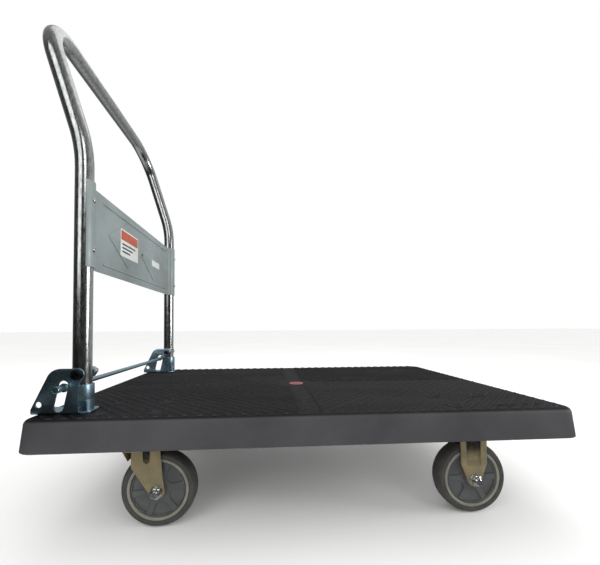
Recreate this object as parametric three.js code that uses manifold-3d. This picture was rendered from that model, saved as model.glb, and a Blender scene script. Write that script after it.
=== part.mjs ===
// Folding platform cart: a moulded plastic deck on two swivel and two fixed casters, with a bent
// tube handle that folds down over the deck and a foot rod that locks it upright.
// Millimetres, +Z up. The deck is laid out from its handle-end right corner (X along its length,
// Y across it, Z from the floor), and the whole group is then moved so that the origin is on the
// floor under the middle of the cart. "Right" and "left" are the pusher's, looking along +X.
import * as THREE from 'three';
import { mergeVertices } from 'three/addons/utils/BufferGeometryUtils.js';
import Module from 'manifold-3d';

const wasm = await Module();
wasm.setup();

// ---------------------------------------------------------------- driving dimensions
const seatGap = 0.3;             // left between pieces that bear on each other
const runGap = 0.4;              // radial running clearance of what turns

const deckLength = 900;
const deckWidth = 600;
const deckHeight = 47;           // from the foot of its skirt to its top
const deckCornerR = 30;
const deckDraft = 4;             // how far the skirt leans in, from its foot to its shoulder
const deckShoulder = 9;          // height of the rounded shoulder under the top
const deckWall = 6;
const deckTopWall = 5;
const deckRib = 4;
const deckCellMax = 88;          // widest cell of the rib grid under the deck
const padRise = 6;               // seat of a caster plate above the foot of the skirt
const padClear = 1;              // seat round a caster plate
const bandWidth = 34;            // smooth band across the middle of the deck
const bandDepth = 1;
const grooveWidth = 5;           // groove along the middle of the deck
const grooveDepth = 2;

const badgeR = 18;
const badgeRise = 1.6;
const badgeSeatDepth = 2;

const wheelR = 62.5;
const tyreWidth = 32;
const tyreWall = 11;
const shoulderR = 7;
const wheelSides = 24;
const hubBossR = 14;
const hubWebHalf = 7;
const hubRimT = 7;
const hubInset = 1;              // rim of the hub behind the tyre's sidewall
const tyreEdgeIn = 2;            // tread's corner, cut back
const axleR = 6;
const axleHeadAF = 19;
const axleHeadT = 7;
const axleNutT = 10;
const axleTail = 2.5;

const plateLength = 105;
const plateWidth = 94;
const plateT = 4;
const plateCornerR = 8;
const boltSpacingX = 88;
const boltSpacingY = 74;
const boltR = 4;
const boltHeadR = 7;
const boltHeadT = 5;
const boltHeadSink = 2.5;        // top of the head below the deck's top
const boltTail = 9;              // shank below the caster plate, for washer and nut
const boltClear = 0.6;
const bossR = 12;
const casterInsetX = 155;        // kingpin or axle plate centre from the nearer end of the deck
const casterInsetY = 77.5;

const legT = 3;
const legSideGap = 2;            // between tyre and fork leg
const legFootR = 12.5;
const crownT = 4;
const crownGap = 7;              // between tyre and crown
const crownR = 33;
const casterTrail = 38;
const legRearLap = 4;            // swivel leg behind its kingpin
const legRearRise = 40;          // its knees above the axle
const legFrontRise = 28;
const legFrontKnee = 9;          // its front edge past the axle, at the knee and at the crown
const legFrontTop = 4.5;
const apronGap = 5.8;            // apron from the tyre
const apronFootDeg = 133.5;      // foot of the apron about the axle
const apronTopX = 19;            // apron's top behind the kingpin
const apronT = 3;
const raceHeight = 14.4;
const raceOuterR = 30;
const raceInnerR = 7;
const raceGap = 1;               // between race and turning crown
const kingpinR = 6;
const kingpinFlangeR = 10;
const kingpinFootT = 5;
const fixedForkHalf = 24;
const fixedKneeRise = 28;

const tubeR = 14.3;
const tubeWall = 1.6;
const handleX = 70.4;            // uprights from the handle end of the deck
const handleInsetY = 60;         // uprights from the sides of the deck
const bendRise = 443;            // above the deck, where the upright's line meets the leaning line
const bendR = 250;
const barRise = 684.5;           // top bar's axis above the deck
const leanDeg = 17.3;
const cornerR = 87;

const panelT = 2;
const panelRise = 240;           // foot of the panel above the deck
const panelHeight = 146;
const panelClear = 0.35;
const panelSet = 1;              // flat of the panel from the plane of the uprights
const panelFilletR = 12;
const panelWrapDeg = 52;         // wrap round the outer side of each upright

const pivotRise = 63.5;          // pivot above the deck
const pivotSet = 2.6;            // pivot from the upright's axis, towards the deck
const pivotR = 5;
const pivotHeadR = 9.3;
const pivotHeadT = 7;
const pivotNutAF = 17;
const pivotNutT = 8;
const pivotTail = 11;            // free end of the pivot bolt, a post for the spring
const tubeTail = 28;             // upright below its pivot

const bracketT = 3;
const bracketGap = 1.2;          // between the tube and each side plate
const earR = 9.7;
const plateFrontSet = 69.4;      // foot of the side plate from the upright's axis
const plateFrontRise = 8.5;      // height of its short upright front edge
const plateShoulderR = 22;
const plateFrontLean = 25.5;     // lean of its long front edge, in degrees
const plateBackSet = 4;          // back edge of the side plate from the upright's axis
const plateNeckDrop = 16;        // top of the back edge below the pivot
const eyeR = 4.7;                // spare hole near the foot of the side plate
const eyeSet = 57.4;             // from the upright's axis
const eyeRise = 16;
const flangeT = 3;
const flangeBackSet = 18.5;
const flangeInner = 25;
const flangeCornerR = 9;
const slotLeanDeg = 12;
const slotWidth = 15.2;
const slotTopSet = 19.4;         // top centre of the slot from the upright's axis
const slotTopDrop = 17.1;        // and below the pivot
const slotSpare = 2.8;           // slot beyond the rod's travel
const webTopDrop = 17.5;         // top of the U web below the pivot
const webHeight = 25;
const webT = 2.5;
const webFootDeg = 38;           // half angle of the narrower foot of the web
const bracketBoltSet = 50.4;     // rear bolt from the front one, which is under the upright
const bracketBoltTail = 34;
const bracketHeadAF = 13;
const bracketHeadT = 5;

const rodR = 4.3;
const rodDrop = 2.6;             // rod's rest place below the slot's top centre
const rodTravel = 30;
const rodReach = 24.5;           // rod beyond the right-hand side plate, as a pedal
const rodPast = 14;              // rod beyond the left-hand side plate
const pedalR = 5.6;
const pedalLength = 12;
const rodTubeGap = 1.1;

const springR = 4;
const springEase = 0.5;          // spring from the post and from the rod

// ---------------------------------------------------------------- derived places
const deg = THREE.MathUtils.degToRad;
const crownZ = 2 * wheelR + crownGap;
const raceZ = crownZ + crownT + raceGap;
const plateZ = raceZ + raceHeight + seatGap;
const plateTopZ = plateZ + plateT;
const padZ = plateTopZ + seatGap;
const deckSkirtZ = padZ - padRise;
const deckTopZ = deckSkirtZ + deckHeight;
const bendZ = deckTopZ + bendRise;
const barZ = deckTopZ + barRise;
const panelBottomZ = deckTopZ + panelRise;
const barX = handleX - (barZ - bendZ) * Math.tan(deg(leanDeg));
const originX = (deckLength + barX - tubeR) / 2;
const pivotX = handleX + pivotSet;
const pivotZ = deckTopZ + pivotRise;
const bracketZ = deckTopZ + seatGap;
const sideIn = tubeR + bracketGap;
const sideOut = sideIn + bracketT;
const boreR = axleR + runGap;
const legIn = tyreWidth / 2 + legSideGap;
const legOut = legIn + legT;
const plateFrontX = handleX - plateFrontSet;
const slotLength = rodDrop + rodTravel + slotSpare;
const slotDir = new THREE.Vector2(-Math.sin(deg(slotLeanDeg)), -Math.cos(deg(slotLeanDeg)));
const slotTop = new THREE.Vector2(handleX - slotTopSet, pivotZ - slotTopDrop);
const slotEnd = slotTop.clone().addScaledVector(slotDir, slotLength);
const slotSide = new THREE.Vector2(-slotDir.y, slotDir.x);
const rodRest = slotTop.clone()
  .addScaledVector(slotDir, rodDrop)
  .addScaledVector(slotSide, slotWidth / 2 - rodR - runGap);
const uprightYs = { right: handleInsetY, left: deckWidth - handleInsetY };
const casterYs = { right: casterInsetY, left: deckWidth - casterInsetY };

// ---------------------------------------------------------------- shape helpers

// Keeps positions only, merges shared vertices, drops empty triangles and turns faces outwards.
function weld(geometry) {
  const bare = new THREE.BufferGeometry();
  bare.setAttribute('position', geometry.getAttribute('position').clone());
  if (geometry.index) bare.setIndex(geometry.index.clone());
  const merged = mergeVertices(bare, 1e-4);
  const at = merged.getAttribute('position');
  const corner = (i) => new THREE.Vector3().fromBufferAttribute(at, i);
  let triangles = [];
  let volume = 0;
  for (let i = 0; i < merged.index.count; i += 3) {
    const [a, b, c] = [0, 1, 2].map((k) => merged.index.getX(i + k));
    if (a === b || b === c || c === a) continue;
    triangles.push([a, b, c]);
    volume += corner(a).dot(corner(b).cross(corner(c)));
  }
  if (volume < 0) triangles = triangles.map(([a, b, c]) => [a, c, b]);
  merged.setIndex(triangles.flat());
  return merged;
}

function solid(geometry) {
  const closed = weld(geometry);
  return new wasm.Manifold(new wasm.Mesh({
    numProp: 3,
    vertProperties: new Float32Array(closed.getAttribute('position').array),
    triVerts: new Uint32Array(closed.index.array),
  }));
}

function geometryOf(manifold) {
  const mesh = manifold.getMesh();
  const geometry = new THREE.BufferGeometry();
  geometry.setAttribute('position', new THREE.BufferAttribute(new Float32Array(mesh.vertProperties), 3));
  geometry.setIndex(new THREE.BufferAttribute(new Uint32Array(mesh.triVerts), 1));
  return geometry;
}

const joined = (solids) => solids.reduce((sum, next) => sum.add(next));

function block(x0, x1, y0, y1, z0, z1) {
  return solid(new THREE.BoxGeometry(x1 - x0, y1 - y0, z1 - z0)
    .translate((x0 + x1) / 2, (y0 + y1) / 2, (z0 + z1) / 2));
}

// A shape drawn in X and Y, raised along Z.
function prismZ(shape, z0, z1, curveSegments = 3) {
  const depth = z1 - z0;
  return new THREE.ExtrudeGeometry(shape, { depth, bevelEnabled: false, steps: 1, curveSegments })
    .translate(0, 0, z0);
}

// A shape drawn in X and Z, thickened along Y.
function prismY(shape, y0, y1, curveSegments = 3) {
  const depth = y1 - y0;
  return new THREE.ExtrudeGeometry(shape, { depth, bevelEnabled: false, steps: 1, curveSegments })
    .rotateX(Math.PI / 2)
    .translate(0, y1, 0);
}

// Round bars along Z and along Y, centred at a point of the plane across them.
function barAlongZ(x, y, z0, z1, radius, sides = 8) {
  return new THREE.CylinderGeometry(radius, radius, z1 - z0, sides)
    .rotateX(Math.PI / 2)
    .translate(x, y, (z0 + z1) / 2);
}

function barAlongY(x, z, y0, y1, radius, sides = 16) {
  return new THREE.CylinderGeometry(radius, radius, y1 - y0, sides).translate(x, (y0 + y1) / 2, z);
}

// Profiles of [radius, height]: turned about Z, or about Y.
function turnedZ(profile, sides) {
  const points = profile.map(([r, h]) => new THREE.Vector2(r, h));
  return new THREE.LatheGeometry(points, sides).rotateX(Math.PI / 2);
}

function turnedY(profile, sides) {
  const points = profile.map(([r, h]) => new THREE.Vector2(r, h));
  return new THREE.LatheGeometry(points, sides);
}

// A round hole as a polygon drawn outside its circle, so that what passes through stays clear.
function roundHole(x, y, radius, sides = 8) {
  const outer = radius / Math.cos(Math.PI / sides);
  const points = Array.from({ length: sides }, (_, i) => {
    const angle = (2 * Math.PI * i) / sides;
    return new THREE.Vector2(x + outer * Math.cos(angle), y + outer * Math.sin(angle));
  });
  return new THREE.Path(points);
}

function hexagon(acrossFlats, holeR) {
  const shape = new THREE.Shape();
  const radius = acrossFlats / 2 / Math.cos(Math.PI / 6);
  for (let i = 0; i < 6; i += 1) {
    const angle = (i * Math.PI) / 3;
    const point = [radius * Math.cos(angle), radius * Math.sin(angle)];
    if (i === 0) shape.moveTo(...point);
    else shape.lineTo(...point);
  }
  shape.closePath();
  if (holeR) shape.holes.push(roundHole(0, 0, holeR, 12));
  return shape;
}

function roundedRect(x0, x1, y0, y1, radius) {
  const shape = new THREE.Shape();
  shape.absarc(x1 - radius, y0 + radius, radius, -Math.PI / 2, 0);
  shape.absarc(x1 - radius, y1 - radius, radius, 0, Math.PI / 2);
  shape.absarc(x0 + radius, y1 - radius, radius, Math.PI / 2, Math.PI);
  shape.absarc(x0 + radius, y0 + radius, radius, Math.PI, Math.PI * 1.5);
  shape.closePath();
  return shape;
}

// Joins rings of equal length, lowest first, and closes both ends with fans.
function loft(rings) {
  const count = rings[0].length;
  const middle = (points) => points
    .reduce((sum, p) => sum.add(p), new THREE.Vector3())
    .divideScalar(count);
  const points = [...rings.flat(), middle(rings[0]), middle(rings.at(-1))];
  const triangles = [];
  for (let level = 0; level < rings.length - 1; level += 1) {
    for (let i = 0; i < count; i += 1) {
      const a = level * count + i;
      const b = level * count + ((i + 1) % count);
      triangles.push(a, b, b + count, a, b + count, a + count);
    }
  }
  const foot = rings.length * count;
  const last = (rings.length - 1) * count;
  for (let i = 0; i < count; i += 1) {
    const next = (i + 1) % count;
    triangles.push(foot, next, i, foot + 1, last + i, last + next);
  }
  const geometry = new THREE.BufferGeometry().setFromPoints(points);
  geometry.setIndex(triangles);
  return geometry;
}

// A line through corners, with an arc of the given radius at each inner corner.
function filletedLine(corners, radii, arcSteps) {
  const points = [corners[0].clone()];
  radii.forEach((radius, i) => {
    const [before, here, after] = [corners[i], corners[i + 1], corners[i + 2]];
    const dirIn = here.clone().sub(before).normalize();
    const dirOut = after.clone().sub(here).normalize();
    const turn = dirIn.angleTo(dirOut);
    const start = here.clone().addScaledVector(dirIn, -radius * Math.tan(turn / 2));
    const inward = dirOut.clone().addScaledVector(dirIn, -dirIn.dot(dirOut)).normalize();
    for (let k = 0; k <= arcSteps; k += 1) {
      const angle = (turn * k) / arcSteps;
      points.push(start.clone()
        .addScaledVector(dirIn, radius * Math.sin(angle))
        .addScaledVector(inward, radius * (1 - Math.cos(angle))));
    }
  });
  points.push(corners.at(-1).clone());
  return points;
}

// A round bar swept through points, its section carried along without twist.
function sweep(points, radius, sides) {
  let side = new THREE.Vector3(1, 0, 0);
  const rings = points.map((point, i) => {
    const before = points[Math.max(i - 1, 0)];
    const after = points[Math.min(i + 1, points.length - 1)];
    const dirIn = point.clone().sub(before).normalize();
    const dirOut = after.clone().sub(point).normalize();
    const along = dirIn.add(dirOut).normalize();
    side = side.clone().addScaledVector(along, -side.dot(along)).normalize();
    const across = along.clone().cross(side);
    return Array.from({ length: sides }, (_, k) => {
      const angle = (2 * Math.PI * k) / sides;
      return point.clone()
        .addScaledVector(side, radius * Math.cos(angle))
        .addScaledVector(across, radius * Math.sin(angle));
    });
  });
  return loft(rings);
}

// ---------------------------------------------------------------- finishes
const finish = (color, roughness, metalness) => () => (
  new THREE.MeshStandardMaterial({ color, roughness, metalness }));
const deckPlastic = finish(0x3c3c3d, 0.6, 0);
const badgePlastic = finish(0x8c3a3f, 0.4, 0);
const tubeChrome = finish(0xc8cccd, 0.15, 1);
const panelPaint = finish(0x848f8f, 0.5, 0);
const blackSteel = finish(0x24292b, 0.4, 0.8);
const bracketZinc = finish(0x8fa9b6, 0.35, 1);
const casterZinc = finish(0x87795e, 0.4, 1);
const boltZinc = finish(0xb4b8b6, 0.3, 1);
const hubPlastic = finish(0x4d4d4d, 0.55, 0);
const tyreRubber = finish(0x434140, 0.8, 0);

const cart = new THREE.Group();
cart.position.set(-originX, -deckWidth / 2, 0);

function addPiece(parent, name, geometry, material) {
  const piece = new THREE.Mesh(weld(geometry), material());
  piece.name = name;
  parent.add(piece);
  return piece;
}

// ---------------------------------------------------------------- where the casters are bolted
const casters = ['right', 'left'].flatMap((side) => [
  { name: `swivel_${side}`, x: casterInsetX, y: casterYs[side], swivels: true },
  { name: `fixed_${side}`, x: deckLength - casterInsetX, y: casterYs[side], swivels: false },
]);
const boltPlaces = casters.flatMap(({ name, x, y }) => [-1, 1].flatMap((sx) => [-1, 1].map((sy) => ({
  name: `caster_bolt_${name}_${sx < 0 ? 'rear' : 'front'}_${sy < 0 ? 'right' : 'left'}`,
  x: x + (sx * boltSpacingX) / 2,
  y: y + (sy * boltSpacingY) / 2,
}))));
const bracketBoltPlaces = Object.entries(uprightYs).flatMap(([side, y]) => [
  { name: `bracket_bolt_${side}_front`, x: handleX, y },
  { name: `bracket_bolt_${side}_rear`, x: handleX - bracketBoltSet, y },
]);
const boltSeatZ = deckTopZ - boltHeadSink - boltHeadT;

// ---------------------------------------------------------------- deck
function deckRing(inset, z) {
  const radius = deckCornerR - inset;
  return roundedRect(inset, deckLength - inset, inset, deckWidth - inset, radius)
    .extractPoints(3).shape
    .slice(0, -1)
    .map((p) => new THREE.Vector3(p.x, p.y, z));
}

function deckCells(inset, z0, z1) {
  const cells = [];
  const span = (size) => {
    const clear = size - 2 * inset + deckRib;
    const count = Math.ceil(clear / deckCellMax);
    return Array.from({ length: count }, (_, i) => [
      inset + (clear * i) / count,
      inset + (clear * (i + 1)) / count - deckRib,
    ]);
  };
  for (const [x0, x1] of span(deckLength)) {
    for (const [y0, y1] of span(deckWidth)) cells.push(block(x0, x1, y0, y1, z0, z1));
  }
  return joined(cells);
}

function makeDeck() {
  const shoulderZ = deckTopZ - deckShoulder;
  const outside = solid(loft([
    deckRing(0, deckSkirtZ),
    deckRing(deckDraft, shoulderZ),
    deckRing(deckDraft + deckShoulder * 0.25, shoulderZ + deckShoulder * 0.7),
    deckRing(deckDraft + deckShoulder * 0.8, deckTopZ),
  ]));
  const inset = deckDraft + deckWall;
  const below = deckSkirtZ - 1;
  const ceiling = deckTopZ - deckTopWall;
  const inside = solid(prismZ(
    roundedRect(inset, deckLength - inset, inset, deckWidth - inset, deckCornerR - inset),
    below,
    ceiling,
  ));
  const bosses = [...boltPlaces, ...bracketBoltPlaces]
    .map(({ x, y }) => solid(barAlongZ(x, y, below, ceiling, bossR, 6)));
  const cells = deckCells(inset, below, ceiling).intersect(inside).subtract(joined(bosses));
  const pads = casters.map(({ x, y }) => {
    const halfX = plateLength / 2 + padClear;
    const halfY = plateWidth / 2 + padClear;
    return block(x - halfX, x + halfX, y - halfY, y + halfY, below, padZ);
  });
  const above = deckTopZ + 1;
  const boltHoles = boltPlaces.flatMap(({ x, y }) => [
    solid(barAlongZ(x, y, below, above, boltR + boltClear)),
    solid(barAlongZ(x, y, boltSeatZ - seatGap, above, boltHeadR + 2 * boltClear)),
  ]);
  const bracketHoles = bracketBoltPlaces.map(({ x, y }) => (
    solid(barAlongZ(x, y, bracketZ - bracketBoltTail - 1, above, boltR + boltClear))));
  const middle = deckLength / 2;
  const band = block(
    middle - bandWidth / 2, middle + bandWidth / 2, deckDraft + deckShoulder,
    deckWidth - deckDraft - deckShoulder, deckTopZ - bandDepth, above,
  );
  const groove = block(
    casterInsetX, deckLength - deckDraft - deckShoulder, (deckWidth - grooveWidth) / 2,
    (deckWidth + grooveWidth) / 2, deckTopZ - grooveDepth, above,
  );
  const badgeSeat = solid(barAlongZ(
    middle, deckWidth / 2, deckTopZ - bandDepth - badgeSeatDepth, above, badgeR + boltClear, 24,
  ));
  const cuts = joined([cells, ...pads, ...boltHoles, ...bracketHoles, band, groove, badgeSeat]);
  return geometryOf(outside.subtract(cuts));
}

addPiece(cart, 'deck', makeDeck(), deckPlastic);

const badgeZ = deckTopZ - bandDepth - badgeSeatDepth + seatGap;
const badge = turnedZ([
  [0, 0], [badgeR, 0], [badgeR, badgeSeatDepth], [badgeR * 0.6, badgeSeatDepth + badgeRise],
  [0, badgeSeatDepth + badgeRise],
], 24);
addPiece(cart, 'centre_badge', badge, badgePlastic)
  .position.set(deckLength / 2, deckWidth / 2, badgeZ);

// ---------------------------------------------------------------- bolts through the deck
for (const { name, x, y } of boltPlaces) {
  const tip = plateZ - boltTail;
  const bolt = turnedZ([
    [0, tip], [boltR, tip], [boltR, boltSeatZ], [boltHeadR, boltSeatZ],
    [boltHeadR, boltSeatZ + boltHeadT], [0, boltSeatZ + boltHeadT],
  ], 8);
  addPiece(cart, name, bolt, boltZinc).position.set(x, y, 0);
}

for (const { name, x, y } of bracketBoltPlaces) {
  const headZ = bracketZ + flangeT + seatGap;
  const head = solid(prismZ(hexagon(bracketHeadAF), headZ, headZ + bracketHeadT));
  const shank = solid(barAlongZ(0, 0, bracketZ - bracketBoltTail, headZ + 1, boltR));
  addPiece(cart, name, geometryOf(head.add(shank)), boltZinc).position.set(x, y, 0);
}

// ---------------------------------------------------------------- hinge brackets
// Both brackets are the same pressing: a large slotted side plate on the right of the upright, a
// small ear on its left, and a U web between them, all rising from one flange.
function sidePlateShape() {
  const top = pivotZ + earR;
  const lean = deg(plateFrontLean);
  const normal = new THREE.Vector2(-Math.cos(lean), Math.sin(lean));
  const shoulderZ = top - plateShoulderR;
  const frontZ = bracketZ + plateFrontRise;
  const touchZ = shoulderZ + plateShoulderR * normal.y;
  const touchX = plateFrontX + (touchZ - frontZ) * Math.tan(lean);
  const shoulderX = touchX - plateShoulderR * normal.x;
  const backX = handleX + plateBackSet;
  const shape = new THREE.Shape();
  shape.moveTo(plateFrontX, bracketZ);
  shape.lineTo(plateFrontX, frontZ);
  shape.absarc(shoulderX, shoulderZ, plateShoulderR, Math.PI - lean, Math.PI / 2, true);
  shape.absarc(pivotX, pivotZ, earR, Math.PI / 2, deg(-50), true);
  shape.lineTo(backX, pivotZ - plateNeckDrop);
  shape.lineTo(backX, bracketZ);
  shape.closePath();
  const slot = new THREE.Path();
  const turn = deg(slotLeanDeg);
  slot.absarc(slotTop.x, slotTop.y, slotWidth / 2, -turn, Math.PI - turn);
  slot.absarc(slotEnd.x, slotEnd.y, slotWidth / 2, Math.PI - turn, 2 * Math.PI - turn);
  slot.closePath();
  const eye = roundHole(handleX - eyeSet, bracketZ + eyeRise, eyeR, 12);
  const pin = roundHole(pivotX, pivotZ, pivotR + runGap, 12);
  shape.holes.push(slot, eye, pin);
  return shape;
}

// The ear's front edge runs along the slot's rear edge, so the lock rod passes it.
function earShape() {
  const edge = slotTop.clone().addScaledVector(slotSide, slotWidth / 2);
  const edgeAt = (z) => edge.x + (z - edge.y) * Math.tan(deg(slotLeanDeg));
  const backX = handleX + plateBackSet;
  const shape = new THREE.Shape();
  shape.moveTo(edgeAt(bracketZ), bracketZ);
  shape.lineTo(edgeAt(edge.y), edge.y);
  shape.absarc(pivotX, pivotZ, earR, Math.PI, deg(-50), true);
  shape.lineTo(backX, pivotZ - plateNeckDrop);
  shape.lineTo(backX, bracketZ);
  shape.closePath();
  shape.holes.push(roundHole(pivotX, pivotZ, pivotR + runGap, 12));
  return shape;
}

function webShape(halfAngle) {
  const shape = new THREE.Shape();
  shape.absarc(handleX, 0, sideIn + webT, -halfAngle, halfAngle);
  shape.absarc(handleX, 0, sideIn, halfAngle, -halfAngle, true);
  shape.closePath();
  return shape;
}

function makeBracket() {
  const flangeTop = bracketZ + flangeT;
  const flange = solid(prismZ(
    roundedRect(plateFrontX, handleX + flangeBackSet, -sideOut, flangeInner, flangeCornerR),
    bracketZ,
    flangeTop,
    2,
  ));
  const bolts = bracketBoltPlaces.map(({ x }) => (
    solid(barAlongZ(x, 0, bracketZ - 1, flangeTop + 1, boltR + boltClear))));
  const squareFoot = block(plateFrontX, handleX + plateBackSet, -sideOut, -sideIn, bracketZ, flangeTop);
  const sidePlate = solid(prismY(sidePlateShape(), -sideOut, -sideIn));
  const ear = solid(prismY(earShape(), sideIn, sideOut));
  const webTop = pivotZ - webTopDrop;
  const webBottom = webTop - webHeight;
  const web = solid(prismZ(webShape(Math.PI / 2), webBottom, webTop));
  const webFoot = solid(prismZ(webShape(deg(webFootDeg)), bracketZ, webBottom + 1, 2));
  const necks = [-1, 1].map((side) => {
    const inner = side < 0 ? -sideIn - webT : sideIn;
    return block(handleX, handleX + plateBackSet, inner, inner + webT, webBottom, webTop);
  });
  return geometryOf(joined([flange, squareFoot, sidePlate, ear, web, webFoot, ...necks])
    .subtract(joined(bolts)));
}

for (const [side, y] of Object.entries(uprightYs)) {
  addPiece(cart, `hinge_bracket_${side}`, makeBracket(), bracketZinc).position.set(0, y, 0);
}

// ---------------------------------------------------------------- pivot bolts and nuts
// Each bolt's head is on the outer side of the cart and its free end on the inner side.
for (const [side, y] of Object.entries(uprightYs)) {
  const assembly = new THREE.Group();
  assembly.position.set(pivotX, y, pivotZ);
  assembly.rotation.z = side === 'right' ? 0 : Math.PI;
  cart.add(assembly);
  const seat = sideOut + seatGap;
  const bolt = turnedY([
    [0, -seat - pivotHeadT], [pivotHeadR * 0.8, -seat - pivotHeadT], [pivotHeadR, -seat - pivotHeadT * 0.7],
    [pivotHeadR, -seat], [pivotR, -seat], [pivotR, seat + pivotNutT + pivotTail],
    [0, seat + pivotNutT + pivotTail],
  ], 12);
  addPiece(assembly, `pivot_bolt_${side}`, bolt, blackSteel);
  const nut = prismY(hexagon(pivotNutAF, pivotR + runGap), seat, seat + pivotNutT);
  addPiece(assembly, `pivot_nut_${side}`, nut, boltZinc);
}

// ---------------------------------------------------------------- handle
function makeHandleTube() {
  const endZ = pivotZ - tubeTail;
  const at = (x, y, z) => new THREE.Vector3(x, y, z);
  const lineWithEndsAt = (z) => filletedLine([
    at(handleX, uprightYs.right, z),
    at(handleX, uprightYs.right, bendZ),
    at(barX, uprightYs.right, barZ),
    at(barX, uprightYs.left, barZ),
    at(handleX, uprightYs.left, bendZ),
    at(handleX, uprightYs.left, z),
  ], [bendR, cornerR, cornerR, bendR], 5);
  const sides = 12;
  const outside = solid(sweep(lineWithEndsAt(endZ), tubeR, sides));
  const inside = solid(sweep(lineWithEndsAt(endZ - 1), tubeR - tubeWall, sides));
  const pivotHoles = Object.values(uprightYs).map((y) => (
    solid(barAlongY(pivotX, pivotZ, y - tubeR - 1, y + tubeR + 1, pivotR + runGap, 12))));
  // The rear lower corner of each upright is cut back at 45 degrees to pass the lock rod.
  const cutSize = 4 * tubeR;
  const cutBack = cutSize / 2 - (rodR + rodTubeGap);
  const corner = solid(new THREE.BoxGeometry(cutSize, deckWidth, cutSize)
    .rotateY(Math.PI / 4)
    .translate(rodRest.x - cutBack / Math.SQRT2, deckWidth / 2, rodRest.y - cutBack / Math.SQRT2));
  return geometryOf(outside.subtract(joined([inside, corner, ...pivotHoles])));
}

addPiece(cart, 'handle_tube', makeHandleTube(), tubeChrome);

// The panel's section in X and Y: flat between the uprights, stepping over the deck side of each.
function panelHalf(offset) {
  const wrapR = tubeR + panelClear + panelT / 2;
  const across = panelSet + panelFilletR;
  const meet = Math.acos(across / (wrapR + panelFilletR));
  const flatY = (wrapR + panelFilletR) * Math.sin(meet);
  const points = [];
  const steps = 8;
  for (let i = 0; i <= steps; i += 1) {
    const angle = deg(-panelWrapDeg) + ((meet + deg(panelWrapDeg)) * i) / steps;
    const radius = wrapR + offset;
    points.push([handleX + radius * Math.cos(angle), handleInsetY + radius * Math.sin(angle)]);
  }
  for (let i = 1; i <= 4; i += 1) {
    const angle = Math.PI + meet - (meet * i) / 4;
    const radius = panelFilletR - offset;
    points.push([
      handleX + across + radius * Math.cos(angle),
      handleInsetY + flatY + radius * Math.sin(angle),
    ]);
  }
  return points;
}

function makePanel() {
  const mirrored = (points) => points.map(([x, y]) => [x, deckWidth - y]).reverse();
  const front = panelHalf(panelT / 2);
  const back = panelHalf(-panelT / 2);
  const outline = [...front, ...mirrored(front), ...[...back, ...mirrored(back)].reverse()];
  const shape = new THREE.Shape(outline.map(([x, y]) => new THREE.Vector2(x, y)));
  return prismZ(shape, panelBottomZ, panelBottomZ + panelHeight);
}

addPiece(cart, 'handle_panel', makePanel(), panelPaint);

// ---------------------------------------------------------------- lock rod and its springs
const rodStart = uprightYs.right - sideOut - rodReach;
const rodFinish = uprightYs.left - sideIn + rodPast;
const rod = turnedY([
  [0, rodStart], [pedalR, rodStart], [pedalR, rodStart + pedalLength],
  [rodR, rodStart + pedalLength + 1], [rodR, rodFinish], [0, rodFinish],
], 12);
addPiece(cart, 'lock_rod', rod, bracketZinc).position.set(rodRest.x, 0, rodRest.y);

const springFrom = new THREE.Vector2(pivotX, pivotZ);
const springLine = rodRest.clone().sub(springFrom);
const springStart = pivotR + springEase;
const springLength = springLine.length() - springStart - rodR - springEase;
for (const [side, y] of Object.entries(uprightYs)) {
  const inward = side === 'right' ? 1 : -1;
  const post = sideOut + seatGap + pivotNutT + pivotTail / 2;
  const spring = new THREE.CylinderGeometry(springR, springR, springLength, 8)
    .translate(0, -springStart - springLength / 2, 0)
    .rotateX(Math.PI / 2);
  const piece = addPiece(cart, `lock_spring_${side}`, spring, boltZinc);
  piece.rotation.y = Math.atan2(-springLine.x, -springLine.y);
  piece.position.set(springFrom.x, y + inward * post, springFrom.y);
}

// ---------------------------------------------------------------- casters
function wheelHub() {
  const rimR = wheelR - tyreWall - seatGap;
  const rimInnerR = rimR - hubRimT;
  const half = tyreWidth / 2 - hubInset;
  const bossHalf = legIn - seatGap;
  return turnedY([
    [boreR, -bossHalf], [hubBossR, -bossHalf], [hubBossR, -hubWebHalf], [rimInnerR, -hubWebHalf],
    [rimInnerR, -half], [rimR, -half], [rimR, half], [rimInnerR, half], [rimInnerR, hubWebHalf],
    [hubBossR, hubWebHalf], [hubBossR, bossHalf], [boreR, bossHalf], [boreR, -bossHalf],
  ], wheelSides);
}

// Tread facets touch the floor at wheelR, so their corners stand slightly further out.
function tyre() {
  const half = tyreWidth / 2;
  const tread = wheelR / Math.cos(Math.PI / wheelSides);
  const bead = (wheelR - tyreWall) / Math.cos(Math.PI / wheelSides);
  const beadHalf = half - hubInset;
  const edge = half - shoulderR * 0.5;
  const flat = half - shoulderR * 1.2;
  return turnedY([
    [bead, -beadHalf], [tread - shoulderR, -half], [tread - tyreEdgeIn, -edge],
    [tread, -flat], [tread, flat], [tread - tyreEdgeIn, edge],
    [tread - shoulderR, half], [bead, beadHalf], [bead, -beadHalf],
  ], wheelSides);
}

function plateShape() {
  const [halfX, halfY] = [plateLength / 2, plateWidth / 2];
  const shape = roundedRect(-halfX, halfX, -halfY, halfY, plateCornerR);
  for (const sx of [-1, 1]) {
    for (const sy of [-1, 1]) {
      const place = [(sx * boltSpacingX) / 2, (sy * boltSpacingY) / 2];
      shape.holes.push(roundHole(...place, boltR + boltClear));
    }
  }
  return shape;
}

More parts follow.
